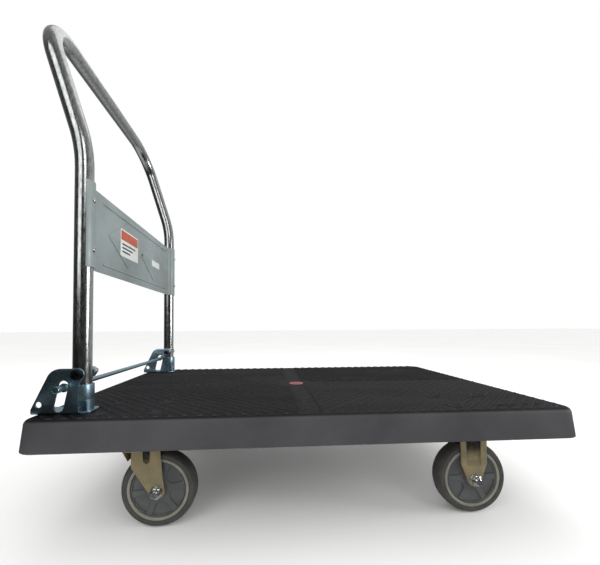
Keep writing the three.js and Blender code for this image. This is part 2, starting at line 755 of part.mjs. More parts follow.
// Fork legs in X and Z about the axle: straight edges down to a round foot.
function legShape(edges, topZ) {
  const shape = new THREE.Shape();
  shape.moveTo(edges.rearTop, topZ);
  shape.lineTo(edges.rearKnee, edges.rearKneeZ);
  shape.absarc(0, wheelR, legFootR, deg(edges.rearFootDeg), deg(edges.frontFootDeg));
  shape.lineTo(edges.frontKnee, edges.frontKneeZ);
  shape.lineTo(edges.frontTop, topZ);
  shape.closePath();
  shape.holes.push(roundHole(0, wheelR, boreR, 12));
  return shape;
}

const bothLegs = (shape) => [
  solid(prismY(shape, -legOut, -legIn)),
  solid(prismY(shape, legIn, legOut)),
];

// The swivel fork about its kingpin: a round crown, legs that trail to the axle and a front apron.
function swivelFork() {
  const top = crownZ + crownT;
  const legs = bothLegs(legShape({
    rearTop: -casterTrail - legRearLap,
    rearKnee: -casterTrail - legRearLap,
    rearKneeZ: wheelR + legRearRise,
    rearFootDeg: 217,
    frontFootDeg: 360 - 5,
    frontKnee: legFrontKnee,
    frontKneeZ: wheelR + legFrontRise,
    frontTop: legFrontTop,
  }, top)).map((leg) => leg.translate([casterTrail, 0, 0]));
  const crown = solid(barAlongZ(0, 0, crownZ, top, crownR, 20));
  const bridge = block(0, casterTrail + legFrontTop, -legOut, legOut, crownZ, top);
  const footAt = (radius) => new THREE.Vector2(
    casterTrail + radius * Math.cos(deg(apronFootDeg)),
    wheelR + radius * Math.sin(deg(apronFootDeg)),
  );
  const apronShape = new THREE.Shape([
    new THREE.Vector2(-apronTopX - apronT, crownZ + 1),
    footAt(wheelR + apronGap + apronT),
    footAt(wheelR + apronGap),
    new THREE.Vector2(-apronTopX, crownZ + 1),
  ]);
  const apron = solid(prismY(apronShape, -legIn - 1, legIn + 1));
  const hole = solid(barAlongZ(0, 0, crownZ - 1, top + 1, kingpinR + runGap, 16));
  return geometryOf(joined([crown, bridge, apron, ...legs]).subtract(hole));
}

// The fixed fork is pressed in one piece with its plate, and stands square over its axle.
function fixedFork() {
  const legs = bothLegs(legShape({
    rearTop: -fixedForkHalf,
    rearKnee: -fixedForkHalf,
    rearKneeZ: wheelR + fixedKneeRise,
    rearFootDeg: 205,
    frontFootDeg: 335,
    frontKnee: fixedForkHalf,
    frontKneeZ: wheelR + fixedKneeRise,
    frontTop: fixedForkHalf,
  }, plateZ + 1));
  const plate = solid(prismZ(plateShape(), plateZ, plateTopZ, 2));
  return geometryOf(joined([plate, ...legs]));
}

function addWheel(parent, name, axleX) {
  const wheel = new THREE.Group();
  wheel.position.set(axleX, 0, wheelR);
  wheel.rotation.y = Math.PI / wheelSides;
  parent.add(wheel);
  addPiece(wheel, `wheel_hub_${name}`, wheelHub(), hubPlastic);
  addPiece(wheel, `tyre_${name}`, tyre(), tyreRubber);
  const axle = new THREE.Group();
  axle.position.set(axleX, 0, wheelR);
  parent.add(axle);
  const seat = legOut + seatGap;
  const head = solid(prismY(hexagon(axleHeadAF), seat, seat + axleHeadT));
  const shank = solid(barAlongY(0, 0, -seat - axleNutT - axleTail, seat + 1, axleR, 16));
  addPiece(axle, `axle_bolt_${name}`, geometryOf(head.add(shank)), boltZinc);
  const nut = prismY(hexagon(axleHeadAF, axleR + runGap), -seat - axleNutT, -seat);
  addPiece(axle, `axle_nut_${name}`, nut, boltZinc);
}

function addSwivelHead(parent, name) {
  const raceTop = raceZ + raceHeight;
  const plate = plateShape();
  plate.holes.push(roundHole(0, 0, kingpinFlangeR + seatGap, 16));
  addPiece(parent, `caster_plate_${name}`, prismZ(plate, plateZ, plateTopZ, 2), casterZinc);
  const waist = (raceZ + raceTop) / 2;
  const race = turnedZ([
    [raceInnerR, raceZ], [raceOuterR - 2, raceZ], [raceOuterR, waist], [raceOuterR + 2, raceTop],
    [raceInnerR, raceTop], [raceInnerR, raceZ],
  ], 20);
  addPiece(parent, `ball_race_${name}`, race, casterZinc);
  const foot = crownZ - raceGap;
  const pin = turnedZ([
    [0, foot - kingpinFootT], [kingpinFlangeR, foot - kingpinFootT], [kingpinFlangeR + 1, foot],
    [kingpinR, foot], [kingpinR, plateZ], [kingpinFlangeR, plateZ], [kingpinFlangeR, plateTopZ],
    [0, plateTopZ],
  ], 16);
  addPiece(parent, `kingpin_${name}`, pin, boltZinc);
}

for (const { name, x, y, swivels } of casters) {
  const caster = new THREE.Group();
  caster.position.set(x, y, 0);
  cart.add(caster);
  if (swivels) addSwivelHead(caster, name);
  addPiece(caster, `caster_fork_${name}`, swivels ? swivelFork() : fixedFork(), casterZinc);
  addWheel(caster, name, swivels ? casterTrail : 0);
}

cart.updateMatrixWorld(true);

export default cart;
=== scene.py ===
import math

import bmesh
import bpy
from mathutils import Matrix, Vector


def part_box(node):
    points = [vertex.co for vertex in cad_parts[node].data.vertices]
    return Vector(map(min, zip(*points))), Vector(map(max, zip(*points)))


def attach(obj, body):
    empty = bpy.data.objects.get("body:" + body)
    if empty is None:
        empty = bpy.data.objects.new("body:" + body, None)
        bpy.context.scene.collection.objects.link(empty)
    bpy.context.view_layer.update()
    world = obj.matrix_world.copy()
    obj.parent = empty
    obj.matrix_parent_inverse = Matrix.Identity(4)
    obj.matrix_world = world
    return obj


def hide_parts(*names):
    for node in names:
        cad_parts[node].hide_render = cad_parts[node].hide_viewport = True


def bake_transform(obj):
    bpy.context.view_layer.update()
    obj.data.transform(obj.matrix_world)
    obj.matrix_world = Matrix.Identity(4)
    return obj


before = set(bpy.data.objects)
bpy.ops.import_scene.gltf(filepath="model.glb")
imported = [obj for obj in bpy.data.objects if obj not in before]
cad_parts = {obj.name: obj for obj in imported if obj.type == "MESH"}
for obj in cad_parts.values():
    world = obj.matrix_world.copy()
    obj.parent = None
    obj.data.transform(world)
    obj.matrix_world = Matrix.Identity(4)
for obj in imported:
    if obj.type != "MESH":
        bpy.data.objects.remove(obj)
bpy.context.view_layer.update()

# Folding platform cart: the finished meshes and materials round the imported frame. Metres, +Z up,
# +X away from the handle. "Right" and "left" are the pusher's, looking along +X.
MM = 0.001
SIDES = ("right", "left")
CASTERS = [(kind, side) for kind in ("swivel", "fixed") for side in SIDES]
FINE = 64                        # faces round a large turned piece
SMALL = 32                       # and round a small one


def middle(node):
    low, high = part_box(node)
    return (low + high) / 2


# ---------------------------------------------------------------- places taken from the frame
DECK_LOW, DECK_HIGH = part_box("deck")
DECK_TOP = DECK_HIGH.z
DECK_X = (DECK_LOW.x + DECK_HIGH.x) / 2
PIVOT = {side: middle(f"pivot_bolt_{side}") for side in SIDES}
PIVOT_Z = PIVOT["right"].z
UPRIGHT = {side: middle(f"bracket_bolt_{side}_front") for side in SIDES}
UPRIGHT_X = UPRIGHT["right"].x
REAR_BOLT_X = middle("bracket_bolt_right_rear").x
ROD = middle("lock_rod")
ROD_LOW, ROD_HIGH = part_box("lock_rod")
BRACKET_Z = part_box("hinge_bracket_right")[0].z
PANEL_LOW, PANEL_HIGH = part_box("handle_panel")
WHEEL = {(kind, side): middle(f"tyre_{kind}_{side}") for kind, side in CASTERS}
WHEEL_R = WHEEL["fixed", "right"].z
PLATE_LOW, PLATE_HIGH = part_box("caster_plate_swivel_right")
KINGPIN = {side: middle(f"kingpin_swivel_{side}") for side in SIDES}
RACE_LOW, RACE_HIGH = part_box("ball_race_swivel_right")
CROWN_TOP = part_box("caster_fork_swivel_right")[1].z
BOLTS = [
    middle(f"caster_bolt_{kind}_{side}_{end}_{flank}")
    for kind, side in CASTERS
    for end in ("rear", "front")
    for flank in SIDES
]


# ---------------------------------------------------------------- meshes
# A shape is a pair: its corners, as vectors, and its faces, as rows of corner numbers.
def moved(shape, place):
    """The shape with each corner taken through place, a matrix or a function."""
    corners, faces = shape
    take = place if callable(place) else (lambda p: place @ p)
    return [take(p) for p in corners], faces


def at(x, y, z):
    return Matrix.Translation((x, y, z))


def together(*shapes):
    corners, faces = [], []
    for more_corners, more_faces in shapes:
        first = len(corners)
        corners += more_corners
        faces += [tuple(first + i for i in face) for face in more_faces]
    return corners, faces


def as_mesh(name, shape):
    """A mesh whose faces all point outwards, with nearby corners joined."""
    mesh = bpy.data.meshes.new(name)
    mesh.from_pydata([tuple(p) for p in shape[0]], [], shape[1])
    work = bmesh.new()
    work.from_mesh(mesh)
    bmesh.ops.remove_doubles(work, verts=work.verts, dist=2e-6)
    bmesh.ops.dissolve_degenerate(work, edges=work.edges, dist=1e-7)
    bmesh.ops.recalc_face_normals(work, faces=work.faces)
    work.to_mesh(mesh)
    work.free()
    return mesh


def as_shape(mesh):
    return [v.co.copy() for v in mesh.vertices], [tuple(f.vertices) for f in mesh.polygons]


def new_object(name, mesh):
    made = bpy.data.objects.new(name, mesh)
    bpy.context.scene.collection.objects.link(made)
    return made


def evaluated(thing):
    """The plain shape of an object with its modifiers; the object itself is removed."""
    graph = bpy.context.evaluated_depsgraph_get()
    shape = as_shape(bpy.data.meshes.new_from_object(thing.evaluated_get(graph)))
    bpy.data.objects.remove(thing)
    return shape


def rounded(points, radius, steps=5):
    """A closed outline with an arc at each corner; a point may give its own radius third."""
    outline = []
    for i, point in enumerate(points):
        here = Vector(point[:2])
        size = point[2] if len(point) > 2 else radius
        before = (Vector(points[i - 1][:2]) - here)
        after = (Vector(points[(i + 1) % len(points)][:2]) - here)
        half = before.angle(after) / 2
        if size <= 0 or half > math.radians(88):
            outline.append(here)
            continue
        cut = min(size / math.tan(half), before.length * 0.49, after.length * 0.49)
        size = cut * math.tan(half)
        centre = here + (before.normalized() + after.normalized()).normalized() * size / math.sin(half)
        start = here + before.normalized() * cut - centre
        finish = here + after.normalized() * cut - centre
        turn = start.angle_signed(finish)
        for k in range(steps + 1):
            a = -turn * k / steps
            outline.append(centre + Matrix.Rotation(a, 2) @ start)
    return outline


def circle(x, y, radius, count=SMALL):
    return [
        Vector((x + radius * math.cos(2 * math.pi * i / count),
                y + radius * math.sin(2 * math.pi * i / count)))
        for i in range(count)
    ]


def arc(x, y, radius, start, end, steps):
    """Points of an arc, angles in degrees."""
    return [
        (x + radius * math.cos(math.radians(start + (end - start) * i / steps)),
         y + radius * math.sin(math.radians(start + (end - start) * i / steps)))
        for i in range(steps + 1)
    ]


def plate(outline, thickness, edge, holes=()):
    """A flat piece with eased edges, drawn in X and Y and centred on Z 0."""
    drawn = bpy.data.curves.new("plate", "CURVE")
    drawn.dimensions = "2D"
    drawn.fill_mode = "BOTH"
    drawn.extrude = thickness / 2 - edge
    drawn.bevel_depth = edge
    drawn.bevel_resolution = 2
    drawn.offset = -edge
    for line in (outline, *holes):
        spline = drawn.splines.new("POLY")
        spline.points.add(len(line) - 1)
        for point, place in zip(spline.points, line):
            point.co = (place[0], place[1], 0, 1)
        spline.use_cyclic_u = True
    return evaluated(new_object("plate", drawn))


UPRIGHT_PLANE = Matrix(((1, 0, 0, 0), (0, 0, -1, 0), (0, 1, 0, 0), (0, 0, 0, 1)))
END_PLANE = Matrix(((0, 0, 1, 0), (1, 0, 0, 0), (0, 1, 0, 0), (0, 0, 0, 1)))


def wall(outline, y, thickness, edge, holes=()):
    """A plate drawn in X and Z, its middle at Y y."""
    return moved(plate(outline, thickness, edge, holes), at(0, y, 0) @ UPRIGHT_PLANE)


def screen(outline, x, thickness, edge, holes=()):
    """A plate drawn in Y and Z, its middle at X x."""
    return moved(plate(outline, thickness, edge, holes), at(x, 0, 0) @ END_PLANE)


def turned(profile, steps=FINE):
    """A profile of (radius, height) turned about Z. It ends on the axis, or closes on itself."""
    corners, faces, rings = [], [], []
    on_axis = profile[0][0] < 1e-9
    for radius, height in profile:
        if radius < 1e-9:
            rings.append([len(corners)] * steps)
            corners.append(Vector((0, 0, height)))
            continue
        rings.append(list(range(len(corners), len(corners) + steps)))
        for i in range(steps):
            a = 2 * math.pi * i / steps
            corners.append(Vector((radius * math.cos(a), radius * math.sin(a), height)))
    pairs = list(zip(rings, rings[1:])) + ([] if on_axis else [(rings[-1], rings[0])])
    for low, high in pairs:
        for i in range(steps):
            j = (i + 1) % steps
            face = tuple(dict.fromkeys((low[i], low[j], high[j], high[i])))
            if len(face) > 2:
                faces.append(face)
    return corners, faces


ABOUT_Y = Matrix.Rotation(math.radians(-90), 4, "X")    # a turned piece's height runs along +Y


def ring(inner, outer, low, high, ease, steps=FINE):
    """A washer or collar with eased corners."""
    corners = [(inner, low), (outer, low), (outer, high), (inner, high)]
    return turned(rounded(corners, ease, 3), steps)


def lofted(rings, capped=True):
    count = len(rings[0])
    corners = [p for ring in rings for p in ring]
    faces = []
    for level in range(len(rings) - 1):
        for i in range(count):
            a, b = level * count + i, level * count + (i + 1) % count
            faces.append((a, b, b + count, a + count))
    if capped:
        last = (len(rings) - 1) * count
        faces.append(tuple(reversed(range(count))))
        faces.append(tuple(range(last, last + count)))
    return corners, faces


def swept_rings(points, radius, sides):
    """Rings of a round section carried along a line of points without twist."""
    side = Vector((1, 0.01, 0)).normalized()
    rings = []
    for i, point in enumerate(points):
        before, after = points[max(i - 1, 0)], points[min(i + 1, len(points) - 1)]
        along = (after - before).normalized()
        side = (side - along * side.dot(along)).normalized()
        across = along.cross(side)
        rings.append([
            point + side * radius * math.cos(2 * math.pi * k / sides)
            + across * radius * math.sin(2 * math.pi * k / sides)
            for k in range(sides)
        ])
    return rings


def bar(points, radius, sides=12):
    return lofted(swept_rings(points, radius, sides))


def hexagon(flats, turn=0.0):
    radius = flats / math.sqrt(3)
    return [
        Vector((radius * math.cos(math.radians(60 * i + turn)),
                radius * math.sin(math.radians(60 * i + turn))))
        for i in range(6)
    ]


def cut(shape, tool, operation="DIFFERENCE"):
    body = new_object("body", as_mesh("body", shape))
    knife = new_object("knife", as_mesh("knife", tool))
    modifier = body.modifiers.new("cut", "BOOLEAN")
    modifier.operation = operation
    modifier.solver = "EXACT"
    modifier.use_self = True
    modifier.object = knife
    left = evaluated(body)
    bpy.data.objects.remove(knife)
    return left


def block(low, high):
    corners = ((low[0], low[1]), (high[0], low[1]), (high[0], high[1]), (low[0], high[1]))
    return column(corners, low[2], high[2])


def rectangle(x0, x1, y0, y1, radius, steps=6):
    return rounded([(x0, y0), (x1, y0), (x1, y1), (x0, y1)], radius, steps)


def column(outline, *levels):
    """An outline in X and Y carried straight up through the levels."""
    return lofted([[Vector((p[0], p[1], z)) for p in outline] for z in levels])


# ---------------------------------------------------------------- pieces
def add_piece(name, shapes, body, nodes=(), crease=32):
    """Makes one object of shapes with their materials, on a body, in place of CAD nodes."""
    mesh = as_mesh(name, together(*(shape for shape, _ in shapes)))
    made = new_object(name, mesh)
    finishes = list(dict.fromkeys(material for _, material in shapes))
    for material in finishes:
        mesh.materials.append(material)
    if len(finishes) > 1:
        paint_by_shape(mesh, shapes, finishes)
    mesh.shade_smooth()
    mesh.set_sharp_from_angle(angle=math.radians(crease))
    if nodes:
        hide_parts(*nodes)
    if body:
        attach(made, body)
    return made


def paint_by_shape(mesh, shapes, finishes):
    """Gives each face the finish of the shape that its corners came from."""
    owner = {}
    for shape, material in shapes:
        for point in shape[0]:
            owner[tuple(round(c * 1e5) for c in point)] = finishes.index(material)
    for face in mesh.polygons:
        found = [
            owner.get(tuple(round(c * 1e5) for c in mesh.vertices[i].co)) for i in face.vertices
        ]
        known = [f for f in found if f is not None]
        face.material_index = max(set(known), key=known.count) if known else 0


# ---------------------------------------------------------------- repeated shapes by nodes
def add_node(tree, kind, values=None, links=None, **settings):
    made = tree.nodes.new(kind)
    for key, value in settings.items():
        setattr(made, key, value)
    for socket, value in (values or {}).items():
        made.inputs[socket].default_value = value
    for socket, source in (links or {}).items():
        tree.links.new(source, made.inputs[socket])
    return made


def node_tree(name, sizes):
    """A geometry tree with a mesh input, a mesh output and named sizes."""
    tree = bpy.data.node_groups.new(name, "GeometryNodeTree")
    tree.interface.new_socket("Geometry", in_out="INPUT", socket_type="NodeSocketGeometry")
    for label, kind in sizes.items():
        tree.interface.new_socket(label, in_out="INPUT", socket_type=kind)
    tree.interface.new_socket("Geometry", in_out="OUTPUT", socket_type="NodeSocketGeometry")
    return tree, add_node(tree, "NodeGroupInput")


def run_tree(tree, base, sizes):
    """Runs a tree on a base shape with its sizes, and gives the plain shape."""
    carrier = new_object(tree.name, as_mesh(tree.name, base))
    modifier = carrier.modifiers.new(tree.name, "NODES")
    modifier.node_group = tree
    named = {item.name: item.identifier for item in tree.interface.items_tree
             if item.in_out == "INPUT"}
    for label, value in sizes.items():
        modifier[named[label]] = value
    return evaluated(carrier)


def close_tree(tree, geometry, material):
    real = add_node(tree, "GeometryNodeRealizeInstances", links={"Geometry": geometry})
    done = add_node(tree, "GeometryNodeSetMaterial", {"Material": material},
                    {"Geometry": real.outputs[0]})
    add_node(tree, "NodeGroupOutput", links={0: done.outputs[0]})


def copies_tree(material):
    """Sets the shape of an object on each of the base's corners."""
    tree, given = node_tree("copies", {"Shape": "NodeSocketObject", "Scale": "NodeSocketFloat"})
    info = add_node(tree, "GeometryNodeObjectInfo", links={"Object": given.outputs["Shape"]})
    size = add_node(tree, "ShaderNodeCombineXYZ", links={
        axis: given.outputs["Scale"] for axis in ("X", "Y", "Z")})
    placed = add_node(tree, "GeometryNodeInstanceOnPoints", links={
        "Points": given.outputs["Geometry"],
        "Instance": info.outputs["Geometry"],
        "Scale": size.outputs[0],
    })
    close_tree(tree, placed.outputs[0], material)
    return tree


def copies(shape, places, material):
    """The shape at each place, made by the tree above."""
    model = new_object("model", as_mesh("model", shape))
    made = run_tree(copies_tree(material), (places, []), {"Shape": model, "Scale": 1.0})
    bpy.data.objects.remove(model)
    return made


def ridge_tree(material):
    """Low round ridges at a slant, kept where the base field is."""
    sizes = {label: "NodeSocketFloat" for label in ("Pitch", "Radius", "Depth", "Length", "Slant")}
    sizes["Count"] = "NodeSocketInt"
    sizes["Start"] = "NodeSocketVector"
    tree, given = node_tree("tread ridges", sizes)
    step = add_node(tree, "ShaderNodeCombineXYZ", links={"X": given.outputs["Pitch"]})
    row = add_node(tree, "GeometryNodeMeshLine", links={
        "Count": given.outputs["Count"],
        "Start Location": given.outputs["Start"],
        "Offset": step.outputs[0],
    })
    half = add_node(tree, "ShaderNodeMath", {1: 0.5}, {0: given.outputs["Length"]},
                    operation="MULTIPLY")
    back = add_node(tree, "ShaderNodeMath", {1: -1.0}, {0: half.outputs[0]}, operation="MULTIPLY")
    ends = [add_node(tree, "ShaderNodeCombineXYZ", links={
        "X": end.outputs[0], "Z": given.outputs["Depth"]}) for end in (back, half)]
    line = add_node(tree, "GeometryNodeCurvePrimitiveLine", links={
        "Start": ends[0].outputs[0], "End": ends[1].outputs[0]})
    section = add_node(tree, "GeometryNodeCurvePrimitiveCircle", {"Resolution": 28},
                       {"Radius": given.outputs["Radius"]})
    ridge = add_node(tree, "GeometryNodeCurveToMesh", {"Fill Caps": True}, {
        "Curve": line.outputs[0], "Profile Curve": section.outputs[0]})
    turn = add_node(tree, "ShaderNodeCombineXYZ", links={"Z": given.outputs["Slant"]})
    placed = add_node(tree, "GeometryNodeInstanceOnPoints", links={
        "Points": row.outputs[0], "Instance": ridge.outputs[0], "Rotation": turn.outputs[0]})
    real = add_node(tree, "GeometryNodeRealizeInstances", links={"Geometry": placed.outputs[0]})
    kept = add_node(tree, "GeometryNodeMeshBoolean", operation="INTERSECT", solver="EXACT")
    tree.links.new(given.outputs["Geometry"], kept.inputs["Mesh 2"])
    tree.links.new(real.outputs[0], kept.inputs["Mesh 2"])
    close_tree(tree, kept.outputs["Mesh"], material)
    return tree


# ---------------------------------------------------------------- colours and finishes
def colour(code):
    """An sRGB hex value as linear red, green, blue and alpha."""
    parts = [int(code[i:i + 2], 16) / 255 for i in (1, 3, 5)]
    linear = [c / 12.92 if c <= 0.04045 else ((c + 0.055) / 1.055) ** 2.4 for c in parts]
    return (*linear, 1.0)


def start_finish(name, **values):
    """A new material's tree, its shader and its object coordinates."""
    material = bpy.data.materials.new(name)
    material.use_nodes = True
    tree = material.node_tree
    tree.nodes.clear()
    shader = add_node(tree, "ShaderNodeBsdfPrincipled",
                      {key.replace("_", " "): value for key, value in values.items()})
    add_node(tree, "ShaderNodeOutputMaterial", links={"Surface": shader.outputs[0]})
    where = add_node(tree, "ShaderNodeTexCoord").outputs["Object"]
    return material, tree, shader, where


def clouds(tree, where, grain, detail, stretch=(1, 1, 1)):
    """A soft random pattern with patches about grain metres across."""
    placed = add_node(tree, "ShaderNodeMapping", {"Scale": stretch}, {"Vector": where})
    noise = add_node(tree, "ShaderNodeTexNoise", {"Scale": 1 / grain, "Detail": detail},
                     {"Vector": placed.outputs[0]})
    return noise.outputs["Fac"]


def mottle(tree, shader, where, grain, dark, light, span=(0.35, 0.65), stretch=(1, 1, 1)):
    """Colour that wanders between two shades."""
    ramp = add_node(tree, "ShaderNodeValToRGB",
                    links={"Fac": clouds(tree, where, grain, 6.0, stretch)})
    for stop, place, shade in zip(ramp.color_ramp.elements, span, (dark, light)):
        stop.position = place
        stop.color = colour(shade)
    tree.links.new(ramp.outputs["Color"], shader.inputs["Base Color"])
    return ramp


def gloss(tree, shader, where, grain, low, high, stretch=(1, 1, 1)):
    """Roughness that wanders between two values."""
    span = add_node(tree, "ShaderNodeMapRange",
                    {"From Min": 0.3, "From Max": 0.7, "To Min": low, "To Max": high},
                    {"Value": clouds(tree, where, grain, 5.0, stretch)})
    tree.links.new(span.outputs[0], shader.inputs["Roughness"])


def relief(tree, shader, where, grain, height, strength):
    """Fine bumps about grain metres apart and height metres high."""
    bump = add_node(tree, "ShaderNodeBump", {"Strength": strength, "Distance": height},
                    {"Height": clouds(tree, where, grain, 4.0)})
    tree.links.new(bump.outputs[0], shader.inputs["Normal"])


def blend_shades(tree, shader, share, first, second):
    """The base colour goes from one mottle to another as share goes from 0 to 1."""
    both = add_node(tree, "ShaderNodeMix", links={
        "Factor": share.outputs[0], 6: first.outputs["Color"], 7: second.outputs["Color"]},
        data_type="RGBA")
    tree.links.new(both.outputs[2], shader.inputs["Base Color"])


def deck_polypropylene():
    """Injection-moulded PP: the spark-eroded sides are semi-matt grey-black with cloudy flow marks.
    Faces that point up get a near-black painted shade, streaked along the cart, standing in for the top
    seen dark at a grazing angle."""
    made, tree, shader, where = start_finish("moulded polypropylene", IOR=1.49)
    shader.inputs["Specular IOR Level"].default_value = 0.12
    side = mottle(tree, shader, where, 90 * MM, "#3d3d3f", "#464648")
    # painted shade: a near-black copy of the plastic, blended in below on faces that point up
    top = mottle(tree, shader, where, 60 * MM, "#101011", "#1b1b1d", stretch=(0.3, 1, 1))
    facing = add_node(tree, "ShaderNodeSeparateXYZ",
                      links={"Vector": add_node(tree, "ShaderNodeTexCoord").outputs["Normal"]})
    upward = add_node(tree, "ShaderNodeMapRange", {"From Min": 0.5, "From Max": 0.97},
                      {"Value": facing.outputs["Z"]}, interpolation_type="SMOOTHSTEP")
    blend_shades(tree, shader, upward, side, top)
    gloss(tree, shader, where, 6 * MM, 0.48, 0.66)
    # Spark texture is 0.1 mm; drawn at 1.2 mm so that it shows.
    relief(tree, shader, where, 1.2 * MM, 0.1 * MM, 0.4)
    return made


def red_abs():
    """Glossy moulded ABS button, slightly scuffed."""
    made, tree, shader, where = start_finish("red moulded ABS", IOR=1.53)
    mottle(tree, shader, where, 9 * MM, "#7c2f36", "#93424a")
    gloss(tree, shader, where, 3 * MM, 0.22, 0.4)
    return made


def bright_tube():
    """Nickel-chrome plate on drawn tube: bright, with draw lines and a fine orange peel."""
    made, tree, shader, where = start_finish("bright plated tube", Metallic=1.0)
    mottle(tree, shader, where, 4 * MM, "#a9adab", "#cfd2d0", stretch=(1, 1, 0.35))
    gloss(tree, shader, where, 2.5 * MM, 0.13, 0.27, (1, 1, 0.2))
    relief(tree, shader, where, 3 * MM, 0.05 * MM, 0.35)
    return made


def grey_powder_coat():
    """Satin powder coat on pressed sheet, with a very fine leathery skin."""
    made, tree, shader, where = start_finish("grey powder coat", Metallic=0.25, IOR=1.5)
    mottle(tree, shader, where, 120 * MM, "#838c8b", "#929e9e")
    gloss(tree, shader, where, 8 * MM, 0.36, 0.5)
    # Powder skin is about 0.5 mm; drawn at 1.5 mm so that it shows.
    relief(tree, shader, where, 1.5 * MM, 0.04 * MM, 0.4)
    return made


def blue_zinc():
    """Blue-passivated zinc on pressed steel: a cool satin metal with a fine crystal speckle."""
    made, tree, shader, where = start_finish("blue passivated zinc", Metallic=1.0)
    mottle(tree, shader, where, 1.4 * MM, "#7fa2b5", "#b9d6e2", (0.25, 0.75))
    gloss(tree, shader, where, 2 * MM, 0.26, 0.42)
    relief(tree, shader, where, 1.3 * MM, 0.03 * MM, 0.3)
    return made


def yellow_zinc():
    """Yellow-chromated zinc: olive to straw, with pinkish clouds where the bath ran off."""
    made, tree, shader, where = start_finish("yellow chromated zinc", Metallic=0.45)
    ramp = mottle(tree, shader, where, 24 * MM, "#837b60", "#9d8c6c", (0.3, 0.62))
    olive = ramp.color_ramp.elements.new(0.45)
    olive.color = colour("#8d8467")
    gloss(tree, shader, where, 3 * MM, 0.38, 0.55)
    relief(tree, shader, where, 1.2 * MM, 0.05 * MM, 0.5)
    return made


def zinc_with_painted_shade():
    """The same plate in its pressed hollows, with painted shade: it goes near black under the deck and
    fades out toward the axle."""
    made, tree, shader, where = start_finish("soiled chromated zinc", Metallic=0.4)
    plain = mottle(tree, shader, where, 9 * MM, "#7b745a", "#8f8265")
    # painted shade: near-black colour the hollows take on toward the top, under the deck
    painted_shade = mottle(tree, shader, where, 5 * MM, "#191b15", "#3c3a2a")
    split = add_node(tree, "ShaderNodeSeparateXYZ", links={"Vector": where})
    rise = add_node(tree, "ShaderNodeMapRange", {"From Min": 98 * MM, "From Max": 121 * MM},
                    {"Value": split.outputs["Z"]}, interpolation_type="SMOOTHSTEP")
    blend_shades(tree, shader, rise, plain, painted_shade)
    gloss(tree, shader, where, 4 * MM, 0.45, 0.7)
    relief(tree, shader, where, 1.5 * MM, 0.08 * MM, 0.5)
    return made


def bright_zinc():
    """Bright zinc on bolts, nuts and washers, lightly tarnished."""
    made, tree, shader, where = start_finish("bright zinc plate", Metallic=1.0)
    mottle(tree, shader, where, 3 * MM, "#b3b8b7", "#dde1e0")
    gloss(tree, shader, where, 1.5 * MM, 0.14, 0.32)
    return made


def black_oxide():
    """Oiled black oxide on the pivot bolts: near black, worn a little bright."""
    made, tree, shader, where = start_finish("black oxide steel", Metallic=0.9)
    mottle(tree, shader, where, 3 * MM, "#16191b", "#34393c", (0.4, 0.75))
    gloss(tree, shader, where, 2 * MM, 0.24, 0.45)
    return made


def hub_polypropylene():
    """Grey moulded PP wheel centre, semi-matt."""
    made, tree, shader, where = start_finish("grey moulded polypropylene", IOR=1.49)
    mottle(tree, shader, where, 30 * MM, "#48494a", "#535455")
    gloss(tree, shader, where, 4 * MM, 0.42, 0.58)
    relief(tree, shader, where, 1.2 * MM, 0.06 * MM, 0.4)
    return made


def rim_polypropylene():
    """The wheel's rim ring, a lighter grey than the hub."""
    made, tree, shader, where = start_finish("light moulded polypropylene", IOR=1.49)
    mottle(tree, shader, where, 18 * MM, "#6e6e64", "#7d7d73")
    gloss(tree, shader, where, 4 * MM, 0.38, 0.52)
    return made


def tyre_rubber():
    """Thermoplastic rubber: matt dark grey, dusty, with fine scuffs round the tread."""
    made, tree, shader, where = start_finish("thermoplastic rubber", IOR=1.52)
    mottle(tree, shader, where, 22 * MM, "#383735", "#444240")
    gloss(tree, shader, where, 5 * MM, 0.62, 0.85)
    relief(tree, shader, where, 1.4 * MM, 0.12 * MM, 0.5)
    return made


def label_film(name, dark, light):
    """Printed vinyl film, plain colour, satin."""
    made, tree, shader, where = start_finish(name, IOR=1.5)
    mottle(tree, shader, where, 14 * MM, dark, light)
    gloss(tree, shader, where, 6 * MM, 0.3, 0.42)
    return made


DECK = deck_polypropylene()
BADGE = red_abs()
TUBE = bright_tube()
PAINT = grey_powder_coat()
BLUE_ZINC = blue_zinc()
YELLOW_ZINC = yellow_zinc()
PAINTED_SHADE_ZINC = zinc_with_painted_shade()
ZINC = bright_zinc()
BLACK = black_oxide()
HUB = hub_polypropylene()
RIM = rim_polypropylene()
RUBBER = tyre_rubber()
LABEL_BAND = label_film("burnt orange label film", "#a8472c", "#b9573a")
LABEL_FIELD = label_film("pale label film", "#c3c8c4", "#d0d4d0")
LABEL_LINE = label_film("dark label film", "#2c3233", "#3a4041")

# ---------------------------------------------------------------- deck
CORNER_R = 30 * MM
DRAFT = 4 * MM
SHOULDER = 9 * MM
WALL = 6 * MM
TOP_WALL = 5 * MM
RIB = 4 * MM
CELL_MAX = 88 * MM
FOOT_LIP = 1.2 * MM
BAND = 34 * MM                   # smooth band across the middle
BAND_DEPTH = 1 * MM
GROOVE = 5 * MM
GROOVE_DEPTH = 2 * MM
GROOVE_START = 155 * MM
BADGE_R = 18 * MM
BADGE_SEAT = 2 * MM
BOSS_R = 12 * MM                 # inside the deck, round each bolt
SHANK_HOLE_R = 4.6 * MM
RECESS_R = 9.6 * MM
RECESS_DEPTH = 7.8 * MM
PLATE_SIZE = Vector((107, 96)) * MM
PAD_RISE = 6 * MM


def deck_ring(inset, z):
    outline = rectangle(
        DECK_LOW.x + inset, DECK_HIGH.x - inset, DECK_LOW.y + inset, DECK_HIGH.y - inset,
        CORNER_R - inset, 12,
    )
    return [Vector((p.x, p.y, z)) for p in outline]


